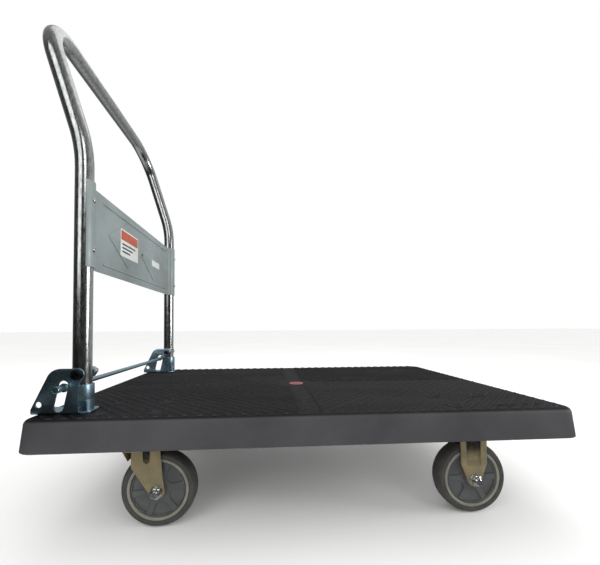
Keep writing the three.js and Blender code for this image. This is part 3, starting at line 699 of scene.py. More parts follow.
def deck_outside():
    foot = DECK_LOW.z
    shoulder_z = DECK_TOP - SHOULDER
    rings = [deck_ring(FOOT_LIP * 0.6, foot), deck_ring(0.1 * FOOT_LIP, foot + FOOT_LIP * 0.4)]
    rings.append(deck_ring(0, foot + FOOT_LIP))
    rings.append(deck_ring(DRAFT, shoulder_z))
    for i in range(1, 9):
        a = math.radians(90 * i / 8)
        rings.append(deck_ring(DRAFT + SHOULDER * (1 - math.cos(a)) * 0.8,
                               shoulder_z + SHOULDER * math.sin(a)))
    return lofted(rings)


def cell_grid(ceiling):
    """Hollow cells under the deck, by a grid of points with a drafted cell on each."""
    inset = DRAFT + WALL
    below = DECK_LOW.z - 1 * MM
    spans = []
    for low, high in ((DECK_LOW.x, DECK_HIGH.x), (DECK_LOW.y, DECK_HIGH.y)):
        clear = high - low - 2 * inset + RIB
        count = math.ceil(clear / CELL_MAX)
        spans.append((low + inset, clear / count, count))
    (x0, pitch_x, count_x), (y0, pitch_y, count_y) = spans
    half_x, half_y = (pitch_x - RIB) / 2, (pitch_y - RIB) / 2
    rings = []
    for z, draft, radius in ((below, 0, 7), (ceiling - 3 * MM, 0.8, 7), (ceiling, 2.4, 5)):
        line = rectangle(-half_x + draft * MM, half_x - draft * MM, -half_y + draft * MM,
                         half_y - draft * MM, radius * MM, 3)
        rings.append([Vector((p.x, p.y, z)) for p in line])
    places = [
        (x0 + half_x + i * pitch_x, y0 + half_y + j * pitch_y, 0)
        for i in range(count_x) for j in range(count_y)
    ]
    return copies(lofted(rings), places, DECK)


def upright_bars(places, radius, low, high, sides=24):
    return together(*(column(circle(p.x, p.y, radius, sides), low, high) for p in places))


def make_deck():
    ceiling = DECK_TOP - TOP_WALL
    below = DECK_LOW.z - 1 * MM
    above = DECK_TOP + 1 * MM
    pad_z = DECK_LOW.z + PAD_RISE
    shell = cut(deck_outside(), cell_grid(ceiling))
    bracket_bolts = [Vector((x, UPRIGHT[side].y)) for side in SIDES for x in (UPRIGHT_X, REAR_BOLT_X)]
    bosses = together(
        upright_bars(BOLTS, BOSS_R, pad_z - 1 * MM, ceiling + 1 * MM),
        upright_bars(bracket_bolts, BOSS_R, DECK_LOW.z + 2 * MM, ceiling + 1 * MM),
    )
    shell = cut(shell, bosses, "UNION")
    centres = [Vector((KINGPIN[s].x, KINGPIN[s].y)) for s in SIDES]
    centres += [Vector((WHEEL["fixed", s].x, WHEEL["fixed", s].y)) for s in SIDES]
    pads = [block((c.x - PLATE_SIZE.x / 2, c.y - PLATE_SIZE.y / 2, below),
                  (c.x + PLATE_SIZE.x / 2, c.y + PLATE_SIZE.y / 2, pad_z)) for c in centres]
    holes = together(
        upright_bars(BOLTS, RECESS_R, DECK_TOP - RECESS_DEPTH, above),
        upright_bars(bracket_bolts, SHANK_HOLE_R, below, above),
    )
    shell = cut(shell, together(*pads, holes))
    shell = cut(shell, upright_bars(BOLTS, SHANK_HOLE_R, below, above))
    edge = DRAFT + SHOULDER
    band = block((DECK_X - BAND / 2, DECK_LOW.y + edge, DECK_TOP - BAND_DEPTH),
                 (DECK_X + BAND / 2, DECK_HIGH.y - edge, above))
    groove = block((DECK_LOW.x + GROOVE_START, -GROOVE / 2, DECK_TOP - GROOVE_DEPTH),
                   (DECK_HIGH.x - edge, GROOVE / 2, above))
    seat = upright_bars([Vector((DECK_X, 0))], BADGE_R + 0.6 * MM,
                        DECK_TOP - BAND_DEPTH - BADGE_SEAT, above, 48)
    for tool in (band, groove, seat):
        shell = cut(shell, tool)
    add_piece("deck_moulding", [(shell, DECK)], "platform", ["deck"], 28)


# Ridges at 45 degrees, meeting in a V at the band and at the middle groove.
RIDGE_PITCH = 22.6 * MM          # along the deck, which is 16 mm square to the ridges
RIDGE_WIDTH = 8.4 * MM
RIDGE_RISE = 1.8 * MM
FIELD_EDGE = 15 * MM             # plain rim round the ridges
BOSS_PAD_R = 17 * MM
CENTRE_PAD_R = 46 * MM


def tread_field(end, flank):
    """The outline of one quarter of the tread: a plain corner at the centre and at the bracket."""
    x_in = DECK_X + end * (BAND / 2 + 1.5 * MM)
    x_out = DECK_X + end * ((DECK_HIGH.x - DECK_LOW.x) / 2 - FIELD_EDGE)
    y_in = flank * (GROOVE / 2 + 2 * MM)
    y_out = flank * (DECK_HIGH.y - FIELD_EDGE)
    corners = [(x_in, y_in), (x_out, y_in), (x_out, y_out, CORNER_R - FIELD_EDGE / 2), (x_in, y_out)]
    field = column(rounded(corners, 3 * MM, 4), DECK_TOP - 0.4 * MM, DECK_TOP + 2.5 * MM)
    keep_out = [upright_bars(
        [b for b in BOLTS if (b.x - DECK_X) * end > 0 and b.y * flank > 0],
        BOSS_PAD_R, DECK_TOP - 1 * MM, DECK_TOP + 4 * MM, 28)]
    keep_out.append(upright_bars([Vector((DECK_X, 0))], CENTRE_PAD_R,
                                 DECK_TOP - 1 * MM, DECK_TOP + 4 * MM, 48))
    if end < 0:
        side = "right" if flank < 0 else "left"
        low_corner, high_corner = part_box(f"hinge_bracket_{side}")
        gap = 4 * MM
        keep_out.append(block(
            (DECK_LOW.x, low_corner.y - gap, DECK_TOP - 2 * MM),
            (high_corner.x + gap, high_corner.y + gap, DECK_TOP + 5 * MM)))
    for tool in keep_out:
        field = cut(field, tool)
    return field


def make_tread():
    tree = ridge_tree(DECK)
    half = RIDGE_WIDTH / 2
    radius = (RIDGE_RISE ** 2 + half ** 2) / (2 * RIDGE_RISE)
    long_way = DECK_HIGH.x - DECK_LOW.x
    quarters = []
    for end in (-1, 1):
        for flank in (-1, 1):
            first = DECK_X + min(end, 0) * long_way / 2 - 0.35 * long_way
            sizes = {
                "Pitch": RIDGE_PITCH,
                "Radius": radius,
                "Depth": RIDGE_RISE - radius,
                "Length": long_way,
                "Slant": math.radians(45) * -end * flank,
                "Count": int(1.2 * long_way / RIDGE_PITCH),
                "Start": (first, flank * DECK_HIGH.y / 2, DECK_TOP),
            }
            quarters.append(run_tree(tree, tread_field(end, flank), sizes))
    add_piece("deck_tread", [(together(*quarters), DECK)], "platform", (), 40)


def make_deck_details():
    """Raised collars round the bolt recesses, and four short marks at the front corners."""
    collar = turned(rounded(
        [(9.7 * MM, -0.5 * MM), (14.5 * MM, -0.5 * MM), (14.5 * MM, 0.2 * MM), (12.6 * MM, 0.9 * MM),
         (10.6 * MM, 0.9 * MM), (9.7 * MM, 0.2 * MM)], 0.2 * MM, 2), SMALL)
    collars = copies(collar, [(b.x, b.y, DECK_TOP) for b in BOLTS], DECK)
    mark = moved(plate(rectangle(-9 * MM, 9 * MM, -1.6 * MM, 1.6 * MM, 1.5 * MM), 2.6 * MM, 0.6 * MM),
                 at(0, 0, 0.6 * MM))
    spots = [
        (DECK_HIGH.x - (38 + 26 * i) * MM, flank * (DECK_HIGH.y - 47 * MM), DECK_TOP)
        for flank in (-1, 1) for i in range(4)
    ]
    marks = copies(mark, spots, DECK)
    add_piece("deck_collars", [(together(collars, marks), DECK)], "platform")


def make_badge():
    low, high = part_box("centre_badge")
    dome = [(BADGE_R * t, high.z - (high.z - low.z - BADGE_SEAT) * t ** 3) for t in
            (0.97, 0.93, 0.85, 0.75, 0.62)]
    profile = [(0, low.z), (BADGE_R - 0.4 * MM, low.z), (BADGE_R, low.z + 0.4 * MM),
               (BADGE_R, low.z + BADGE_SEAT - 0.4 * MM)] + dome
    profile += [(BADGE_R * 0.58, high.z - 0.5 * MM), (BADGE_R * 0.5, high.z - 0.6 * MM),
                (BADGE_R * 0.44, high.z - 0.1 * MM), (0, high.z)]
    add_piece("centre_button", [(moved(turned(profile), at(DECK_X, 0, 0)), BADGE)],
              "platform", ["centre_badge"])


make_deck()
make_tread()
make_deck_details()
make_badge()

# ---------------------------------------------------------------- deck bolts, nuts and washers
BOLT_R = 4 * MM
BOLT_HEAD_R = 7 * MM
WASHER_T = 1.6 * MM
NUT_T = 6.4 * MM
NUT_AF = 13 * MM


def nut(flats, hole_r, thickness):
    """A hexagon nut or head with chamfered corners, from Z 0 up; hole_r 0 gives a head."""
    holes = [circle(0, 0, hole_r, 24)] if hole_r else []
    body = moved(plate(hexagon(flats), thickness, 0.5 * MM, holes), at(0, 0, thickness / 2))
    over = flats / math.sqrt(3)
    cone = turned([(0, -1 * MM), (over * 1.2, -1 * MM), (over * 1.2, thickness * 0.6),
                   (flats * 0.47, thickness + 0.02 * MM), (flats * 0.47, thickness + 1 * MM),
                   (0, thickness + 1 * MM)], 48)
    return cut(body, cone, "INTERSECT")


def rod(radius, low, high, steps=24):
    """A plain round bar."""
    return turned([(0, low), (radius, low), (radius, high), (0, high)], steps)


def thread(radius, low, high, pitch=1.25 * MM):
    """A threaded end: close grooves and a chamfered tip at the low end."""
    depth = 0.45 * MM
    count = max(2, int((high - low) / pitch))
    profile = [(0, low), (radius - 2 * depth, low)]
    for i in range(count):
        z = low + (high - low) * (i + 0.3) / count
        profile += [(radius - depth, z), (radius, z + pitch * 0.35)]
    profile += [(radius - depth, high), (0, high)]
    return turned(profile, 24)


def make_caster_bolts():
    head_low, head_high = DECK_TOP - 7.5 * MM, DECK_TOP - 2.5 * MM
    socket_floor = head_high - 2.4 * MM
    head = turned([(0, head_low), (BOLT_HEAD_R, head_low), (BOLT_HEAD_R, head_high - 1.4 * MM),
                   (BOLT_HEAD_R - 2 * MM, head_high), (3.2 * MM, head_high),
                   (3.0 * MM, socket_floor), (0, socket_floor)], SMALL)
    plate_z = PLATE_LOW.z
    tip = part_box("caster_bolt_fixed_right_rear_right")[0].z
    shank = rod(BOLT_R, plate_z - WASHER_T, head_low)
    nut_z = plate_z - WASHER_T - NUT_T - 0.1 * MM
    under = together(
        ring(4.3 * MM, 8.4 * MM, plate_z - WASHER_T, plate_z - 0.05 * MM, 0.2 * MM, 32),
        moved(nut(NUT_AF, 3.6 * MM, NUT_T), at(0, 0, nut_z)),
    )
    for kind, side in CASTERS:
        for end in ("rear", "front"):
            for flank in SIDES:
                name = f"{kind}_{side}_{end}_{flank}"
                place = middle(f"caster_bolt_{name}")
                whole = together(head, shank, under, thread(BOLT_R, tip, nut_z + 1 * MM))
                add_piece(f"deck_bolt_{name}", [(moved(whole, at(place.x, place.y, 0)), ZINC)],
                          "platform", [f"caster_bolt_{name}"])


def make_bracket_bolts():
    for side in SIDES:
        for end in ("front", "rear"):
            node = f"bracket_bolt_{side}_{end}"
            low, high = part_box(node)
            place = (low + high) / 2
            head_z = high.z - 5 * MM
            washer = ring(4.3 * MM, 7.6 * MM, head_z - 0.25 * MM, head_z + 0.6 * MM,
                                         0.2 * MM, 32)
            head = moved(nut(NUT_AF, 0, high.z - head_z - 0.6 * MM), at(0, 0, head_z + 0.6 * MM))
            shank = rod(BOLT_R, low.z + 12 * MM, head_z)
            tail = thread(BOLT_R, low.z, low.z + 12 * MM)
            whole = moved(together(washer, head, shank, tail), at(place.x, place.y, 0))
            add_piece(f"flange_bolt_{side}_{end}", [(whole, ZINC)], "platform", [node])


make_caster_bolts()
make_bracket_bolts()

# ---------------------------------------------------------------- hinge brackets
TUBE_R = 14.3 * MM
SIDE_IN = 15.5 * MM
BRACKET_T = 3 * MM
SIDE_OUT = SIDE_IN + BRACKET_T
EAR_R = 9.7 * MM
BEND_R = 3.4 * MM
PLATE_FRONT = -69.4 * MM         # from the upright's axis
PLATE_BACK = 4 * MM
FRONT_RISE = 8.5 * MM
SHOULDER_R = 22 * MM
FRONT_LEAN = math.radians(25.5)
NECK_DROP = 16 * MM
EYE_R = 4.7 * MM
SLOT_LEAN = math.radians(12)
SLOT_R = 7.6 * MM
SLOT_TOP = Vector((-19.4, -17.1)) * MM   # from the upright's axis and the pivot
SLOT_LENGTH = 35.4 * MM
PIN_HOLE_R = 5.4 * MM
WEB_T = 2.5 * MM
WEB_DROP = 17.5 * MM             # web's top edge below the pivot
WEB_HEIGHT = 25 * MM
FLANGE_BACK = 18.5 * MM          # flange behind the upright's axis
FLANGE_IN = 25 * MM              # and toward the middle of the deck
FLANGE_R = 9 * MM
EYE_SET = 57.4 * MM              # plate's spare hole in front of the upright's axis
EYE_RISE = 16 * MM
EDGE = 0.5 * MM
PIVOT_R = 5 * MM


def slot_points():
    top = Vector((UPRIGHT_X + SLOT_TOP.x, PIVOT_Z + SLOT_TOP.y))
    down = Vector((-math.sin(SLOT_LEAN), -math.cos(SLOT_LEAN)))
    return top, top + down * SLOT_LENGTH


def slot_outline():
    top, end = slot_points()
    turn = -math.degrees(SLOT_LEAN)
    return arc(top.x, top.y, SLOT_R, turn, 180 + turn, 20) + arc(
        end.x, end.y, SLOT_R, 180 + turn, 360 + turn, 20)


def side_plate_outline(foot_z):
    front = UPRIGHT_X + PLATE_FRONT
    back = UPRIGHT_X + PLATE_BACK
    shoulder_z = PIVOT_Z + EAR_R - SHOULDER_R
    touch_z = shoulder_z + SHOULDER_R * math.sin(FRONT_LEAN)
    front_z = BRACKET_Z + FRONT_RISE
    touch_x = front + (touch_z - front_z) * math.tan(FRONT_LEAN)
    shoulder_x = touch_x + SHOULDER_R * math.cos(FRONT_LEAN)
    lean = math.degrees(FRONT_LEAN)
    top = arc(shoulder_x, shoulder_z, SHOULDER_R, 180 - lean, 90, 12)
    ear = arc(PIVOT["right"].x, PIVOT_Z, EAR_R, 90, -50, 16)
    return [(front, foot_z), (front, front_z), *top, *ear, (back, PIVOT_Z - NECK_DROP), (back, foot_z)]


def ear_outline(foot_z):
    top = slot_points()[0]
    edge = top + Vector((math.cos(SLOT_LEAN), -math.sin(SLOT_LEAN))) * SLOT_R
    back = UPRIGHT_X + PLATE_BACK
    foot_x = edge.x + (foot_z - edge.y) * math.tan(SLOT_LEAN)
    ear = arc(PIVOT["right"].x, PIVOT_Z, EAR_R, 180, -50, 24)
    return [(foot_x, foot_z), (edge.x, edge.y), *ear, (back, PIVOT_Z - NECK_DROP), (back, foot_z)]


def bend(x0, x1):
    """The rolled corner between the flange and the side plate."""
    low_z, out_y = BRACKET_Z, -SIDE_OUT
    outer = arc(out_y + BEND_R, low_z + BEND_R, BEND_R, 180, 270, 8)
    inner = arc(out_y + BEND_R, low_z + BEND_R, BEND_R - BRACKET_T, 270, 180, 4)
    line = outer + inner
    return lofted([[Vector((x, y, z)) for y, z in line] for x in (x0, x1)])


def web_outline(half_angle, reach):
    inner, outer = SIDE_IN, SIDE_IN + WEB_T
    line = arc(UPRIGHT_X, 0, outer, -half_angle, half_angle, 28)
    back = arc(UPRIGHT_X, 0, inner, half_angle, -half_angle, 28)
    if reach:
        line = [(UPRIGHT_X - reach, -outer), *line, (UPRIGHT_X - reach, outer)]
        back = [(UPRIGHT_X - reach, inner), *back, (UPRIGHT_X - reach, -inner)]
    return line + back


def make_brackets():
    foot_z = BRACKET_Z + BEND_R
    front, back = UPRIGHT_X + PLATE_FRONT, UPRIGHT_X + PLATE_BACK
    pin = circle(PIVOT["right"].x, PIVOT_Z, PIN_HOLE_R)
    eye = circle(UPRIGHT_X - EYE_SET, BRACKET_Z + EYE_RISE, EYE_R)
    side_plate = wall(side_plate_outline(foot_z), -SIDE_OUT + BRACKET_T / 2, BRACKET_T, EDGE,
                      [slot_outline(), eye, pin])
    ear = wall(ear_outline(BRACKET_Z + 1 * MM), SIDE_IN + BRACKET_T / 2, BRACKET_T, EDGE, [pin])
    flange_line = rounded([
        (front, -SIDE_OUT + BEND_R, 0), (back, -SIDE_OUT + BEND_R, 0),
        (back + 4 * MM, -SIDE_OUT + 0.5 * MM, 2 * MM),
        (UPRIGHT_X + FLANGE_BACK, -SIDE_OUT + 9 * MM, 7 * MM),
        (UPRIGHT_X + FLANGE_BACK, FLANGE_IN, FLANGE_R), (front, FLANGE_IN, FLANGE_R)], 0, 6)
    bolt_holes = [circle(x, 0, SHANK_HOLE_R, 24) for x in (UPRIGHT_X, REAR_BOLT_X)]
    flange = moved(plate(flange_line, BRACKET_T, EDGE, bolt_holes),
                   at(0, 0, BRACKET_Z + BRACKET_T / 2))
    web_top = PIVOT_Z - WEB_DROP
    web_low = web_top - WEB_HEIGHT
    web = moved(plate(web_outline(90, 5 * MM), WEB_HEIGHT, EDGE), at(0, 0, (web_top + web_low) / 2))
    foot_rings = []
    for z, half in ((BRACKET_Z + 1 * MM, 38), (web_low - 3 * MM, 40), (web_low + 1 * MM, 52)):
        foot_rings.append([Vector((x, y, z)) for x, y in web_outline(half, 0)])
    foot = lofted(foot_rings)
    parts = together(side_plate, ear, flange, bend(front + EDGE, back - EDGE), web, foot)
    for side in SIDES:
        add_piece(f"bracket_{side}", [(moved(parts, at(0, UPRIGHT[side].y, 0)), BLUE_ZINC)],
                  "platform", [f"hinge_bracket_{side}"], 30)


def make_pivots():
    seat = SIDE_OUT + 0.3 * MM
    head_t = 7 * MM
    nut_t = 8 * MM
    tail = 11 * MM
    head = turned([(0, -seat - head_t), (2.4 * MM, -seat - head_t),
                   (2.6 * MM, -seat - head_t + 1.6 * MM),
                   (3.4 * MM, -seat - head_t + 1.6 * MM), (3.7 * MM, -seat - head_t),
                   (6.8 * MM, -seat - head_t + 0.2 * MM), (8.4 * MM, -seat - head_t + 1.1 * MM),
                   (9.1 * MM, -seat - head_t + 2.6 * MM), (9.3 * MM, -seat - 1.2 * MM),
                   (9.0 * MM, -seat), (0, -seat)], 48)
    shank = rod(PIVOT_R, -seat, seat + nut_t * 0.6, 32)
    end = moved(thread(PIVOT_R, -seat - nut_t - tail, -seat - nut_t * 0.5),
                Matrix.Rotation(math.pi, 4, "X"))
    groove_nut = moved(nut(17 * MM, PIVOT_R, nut_t), at(0, 0, seat))
    for side in SIDES:
        turn = Matrix.Rotation(0 if side == "right" else math.pi, 4, "Z")
        place = at(PIVOT[side].x, UPRIGHT[side].y, PIVOT_Z) @ turn @ ABOUT_Y
        add_piece(f"pivot_{side}", [(moved(together(head, shank, end), place), BLACK)],
                  "platform", [f"pivot_bolt_{side}"])
        add_piece(f"pivot_lock_nut_{side}", [(moved(groove_nut, place), ZINC)],
                  "platform", [f"pivot_nut_{side}"])


make_brackets()
make_pivots()

# ---------------------------------------------------------------- handle
LEAN = math.radians(17.3)
TUBE_WALL = 1.6 * MM
KNEE_R = 250 * MM
TOP_R = 87 * MM
ROD_R = 4.3 * MM
ROD_GAP = 1.1 * MM


def filleted(corners, radii, steps):
    points = [corners[0]]
    for i, radius in enumerate(radii):
        before, here, after = corners[i:i + 3]
        way_in, way_out = (here - before).normalized(), (after - here).normalized()
        turn = way_in.angle(way_out)
        start = here - way_in * radius * math.tan(turn / 2)
        inward = (way_out - way_in * way_in.dot(way_out)).normalized()
        for k in range(steps + 1):
            a = turn * k / steps
            points.append(start + way_in * radius * math.sin(a) + inward * radius * (1 - math.cos(a)))
    return points + [corners[-1]]


def make_handle():
    low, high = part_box("handle_tube")
    bar_z = high.z - TUBE_R
    bar_x = low.x + TUBE_R
    knee_z = bar_z - (UPRIGHT_X - bar_x) / math.tan(LEAN)
    right, left = UPRIGHT["right"].y, UPRIGHT["left"].y
    end_z = low.z
    line = filleted([
        Vector((UPRIGHT_X, right, end_z)), Vector((UPRIGHT_X, right, knee_z)),
        Vector((bar_x, right, bar_z)), Vector((bar_x, left, bar_z)),
        Vector((UPRIGHT_X, left, knee_z)), Vector((UPRIGHT_X, left, end_z)),
    ], [KNEE_R, TOP_R, TOP_R, KNEE_R], 20)
    outer = swept_rings(line, TUBE_R, 48)
    inner = swept_rings(line, TUBE_R - TUBE_WALL, 48)
    walls = lofted(outer + list(reversed(inner)) + [outer[0]], capped=False)
    size = 57 * MM
    back = size / 2 - (ROD_R + ROD_GAP)
    corner = moved(block((-size / 2, -0.3, -size / 2), (size / 2, 0.3, size / 2)),
                   at(ROD.x - back / math.sqrt(2), 0, ROD.z - back / math.sqrt(2))
                   @ Matrix.Rotation(math.radians(45), 4, "Y"))
    add_piece("handle_bar", [(cut(walls, corner), TUBE)], "handle", ["handle_tube"])


PANEL_T = 2 * MM
PANEL_GAP = 0.35 * MM
WRAP_DEG = 52
FILLET_R = 12 * MM
FLAT_SET = 1 * MM


def panel_line(offset):
    """Half of the panel's section: round the upright, then out to the flat."""
    wrap = TUBE_R + PANEL_GAP + PANEL_T / 2
    across = FLAT_SET + FILLET_R
    meet = math.acos(across / (wrap + FILLET_R))
    flat_y = (wrap + FILLET_R) * math.sin(meet)
    y = UPRIGHT["right"].y
    points = arc(UPRIGHT_X, y, wrap + offset, -WRAP_DEG, math.degrees(meet), 28)
    turned_back = 180 + math.degrees(meet)
    points += arc(UPRIGHT_X + across, y + flat_y, FILLET_R - offset, turned_back, 180, 10)[1:]
    return points


def raised(outline, height, edge, x):
    """A pressed-up area on the panel's front."""
    return screen(outline, x + height / 2 - 0.3 * MM, height + 0.6 * MM, edge)


def make_panel():
    z0, z1 = PANEL_LOW.z, PANEL_HIGH.z
    flip = [(x, -y) for x, y in panel_line(PANEL_T / 2)][::-1]
    flip_back = [(x, -y) for x, y in panel_line(-PANEL_T / 2)][::-1]
    front = panel_line(PANEL_T / 2) + flip
    back = panel_line(-PANEL_T / 2) + flip_back
    outline = front + back[::-1]
    sheet = moved(plate(outline, z1 - z0, 0.45 * MM), at(0, 0, (z0 + z1) / 2))
    face = UPRIGHT_X + FLAT_SET + PANEL_T / 2
    layers = [(sheet, PAINT)]
    start = DECK_LOW.y
    y_from, y_to = start + 120 * MM, start + 497 * MM
    for z in (z1 - 14.5 * MM, z0 + 16.5 * MM):
        bead = rectangle(y_from, y_to, z - 1.7 * MM, z + 1.7 * MM, 1.6 * MM)
        layers.append((raised(bead, 1.3 * MM, 0.9 * MM, face), PAINT))
    for y, z in ((228, 515), (390, 512)):
        y, z = start + y * MM, z * MM
        rhombus = rounded([(y - 90 * MM, z), (y, z - 50 * MM), (y + 90 * MM, z), (y, z + 50 * MM)],
                          4 * MM, 5)
        layers.append((raised(rhombus, 1.1 * MM, 0.8 * MM, face), PAINT))
    add_piece("handle_sign", layers, "handle", ["handle_panel"], 30)
    make_label(face + 1.1 * MM, start)
    rivet = turned([(0, -1.5 * MM), (2.2 * MM, -1.5 * MM), (2.2 * MM, 0), (4.3 * MM, 0),
                    (4.2 * MM, 0.7 * MM), (3.5 * MM, 1.5 * MM), (2.3 * MM, 2.0 * MM),
                    (1.1 * MM, 2.1 * MM), (0.8 * MM, 1.5 * MM), (0, 1.5 * MM)], 28)
    lying = moved(rivet, Matrix.Rotation(math.radians(90), 4, "Y"))
    wrap_x = UPRIGHT_X + TUBE_R + PANEL_GAP + PANEL_T - 0.05 * MM
    places = [(wrap_x, UPRIGHT[side].y, z0 + rise * MM) for side in SIDES for rise in (30, 114)]
    add_piece("panel_rivets", [(copies(lying, places, ZINC), ZINC)], "handle")


def make_label(face, start):
    """A plain stuck-on label with blank bars, and a small blank data strip beside it."""
    film = 0.25 * MM
    y, z = start + 236 * MM, 516 * MM
    field = rectangle(y - 46 * MM, y + 46 * MM, z - 29 * MM, z + 29 * MM, 4 * MM)
    band = rectangle(y - 43 * MM, y + 43 * MM, z + 6 * MM, z + 26 * MM, 2 * MM)
    lines = [rectangle(y - 38 * MM, y + (30 - 14 * i) * MM, z - (4 + 8 * i) * MM,
                       z - (0.5 + 8 * i) * MM, 1 * MM, 3) for i in range(3)]
    strip = rectangle(start + 376 * MM, start + 436 * MM, 500 * MM, 516 * MM, 2 * MM)
    layers = [(screen(field, face + film / 2, film, 0.06 * MM), LABEL_FIELD),
              (screen(band, face + film, film, 0.06 * MM), LABEL_BAND),
              (screen(strip, face + film / 2, film, 0.06 * MM), LABEL_FIELD)]
    layers += [(screen(line, face + film, film, 0.06 * MM), LABEL_LINE) for line in lines]
    add_piece("panel_label", layers, "handle")


make_handle()
make_panel()

# ---------------------------------------------------------------- lock rod and springs
PEDAL_R = 5.6 * MM
PEDAL_LENGTH = 12 * MM
COIL_R = 3.3 * MM
WIRE_R = 0.62 * MM
COIL_TURNS = 11


def make_rod():
    y0, y1 = ROD_LOW.y, ROD_HIGH.y
    end = y0 + PEDAL_LENGTH
    profile = [(0, y0), (2.6 * MM, y0), (2.8 * MM, y0 + 0.9 * MM), (3.8 * MM, y0 + 0.9 * MM),
               (4.3 * MM, y0), (PEDAL_R - 0.5 * MM, y0 + 0.3 * MM), (PEDAL_R, y0 + 1 * MM)]
    for i in range(3):
        z = y0 + (2.8 + 2.8 * i) * MM
        profile += [(PEDAL_R, z), (PEDAL_R - 0.6 * MM, z + 0.4 * MM), (PEDAL_R - 0.6 * MM, z + 0.8 * MM),
                    (PEDAL_R, z + 1.2 * MM)]
    profile += [(PEDAL_R, end - 0.4 * MM), (ROD_R + 0.2 * MM, end + 0.6 * MM), (ROD_R, end + 1.4 * MM)]
    profile += [(ROD_R, y1 - 1.2 * MM), (ROD_R - 1.2 * MM, y1), (0, y1)]
    place = at(ROD.x, 0, ROD.z) @ ABOUT_Y
    lock = moved(turned(profile, 40), place)
    clip_y = UPRIGHT["right"].y - SIDE_OUT - 2.2 * MM
    clip = ring(ROD_R, 7.2 * MM, clip_y - 0.8 * MM, clip_y + 0.8 * MM, 0.3 * MM, 40)
    add_piece("lock_bar", [(lock, BLUE_ZINC), (moved(clip, place), ZINC)], "lock_rod",
              ["lock_rod"])


def make_springs():
    pivot = Vector((PIVOT["right"].x, PIVOT_Z))
    seat = Vector((ROD.x, ROD.z))
    along = (seat - pivot).normalized()
    across = Vector((-along.y, along.x))
    length = (seat - pivot).length
    post_r, hook_r = PIVOT_R, ROD_R
    start = post_r + 2.2 * WIRE_R
    stop = length - hook_r - 2.2 * WIRE_R
    steps = COIL_TURNS * 14
    for side in SIDES:
        y = middle(f"lock_spring_{side}").y

        def at_pivot(distance, out, sideways):
            flat = pivot + along * distance + across * out
            return Vector((flat.x, y + sideways, flat.y))

        coil = []
        for i in range(steps + 1):
            turn = 2 * math.pi * COIL_TURNS * i / steps
            coil.append(at_pivot(start + (stop - start) * i / steps,
                                 COIL_R * math.cos(turn), COIL_R * math.sin(turn)))
        loops = []
        for centre, radius, facing in ((0, post_r + WIRE_R, 1), (length, hook_r + WIRE_R, -1)):
            loop = []
            for i in range(25):
                a = math.radians(330 * i / 24 + 15)
                loop.append(at_pivot(centre + facing * radius * math.cos(a), radius * math.sin(a), 0))
            loops.append(bar(loop, WIRE_R, 8))
        whole = together(bar(coil, WIRE_R, 8), *loops)
        made = add_piece(f"return_spring_{side}", [(whole, ZINC)], None,
                         [f"lock_spring_{side}"], 50)
        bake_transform(made)


make_rod()
make_springs()

# ---------------------------------------------------------------- casters
TYRE_HALF = 16 * MM
TYRE_WALL = 11 * MM
RIM_R = WHEEL_R - TYRE_WALL - 0.3 * MM
RIM_IN = 46.2 * MM
DISC_R = 44.8 * MM
DISC_HALF = 12.6 * MM
PETALS = 6
PETAL_IN, PETAL_OUT = 20 * MM, 42.8 * MM
PETAL_HALF_DEG = 23
PETAL_END_R = 11.5 * MM
PETAL_DEPTH = 2.2 * MM
HUB_BOSS_R = 14 * MM
AXLE_HOLE_R = 6.4 * MM
LEG_IN = 18 * MM
LEG_T = 3 * MM
LEG_FOOT_R = 12.5 * MM           # the leg's round end about the axle
AXLE_R = 6 * MM
AXLE_WASHER_T = 1.2 * MM
AXLE_TAIL = 12.5 * MM
KINGPIN_HOLE_R = 6.4 * MM
CROWN_R = 33 * MM
CROWN_T = 4 * MM
APRON_GAP = 5.8 * MM             # from the tyre to the foot of the apron
APRON_SLANT = math.radians(133.5)
PLATE_HALF = (52.5 * MM, 47 * MM)
PLATE_BOLTS = (44 * MM, 37 * MM)
FIRST_PETAL = {"swivel": -40, "fixed": -31}


def petal(angle):
    """A petal's outline: a round inner end, straight sides opening outwards, an arc outside."""
    turn = Matrix.Rotation(math.radians(angle), 2)
    half = math.radians(PETAL_HALF_DEG)
    outer = Vector((PETAL_OUT * math.cos(half), PETAL_OUT * math.sin(half)))
    centre = PETAL_IN + PETAL_END_R
    reach = outer - Vector((centre, 0))
    lean = math.atan2(reach.y, reach.x) + math.acos(PETAL_END_R / reach.length)
    start = math.degrees(lean)
    inner = arc(centre, 0, PETAL_END_R, start, 360 - start, 18)
    line = arc(0, 0, PETAL_OUT, -PETAL_HALF_DEG, PETAL_HALF_DEG, 12) + inner
    return [turn @ Vector(point) for point in line]


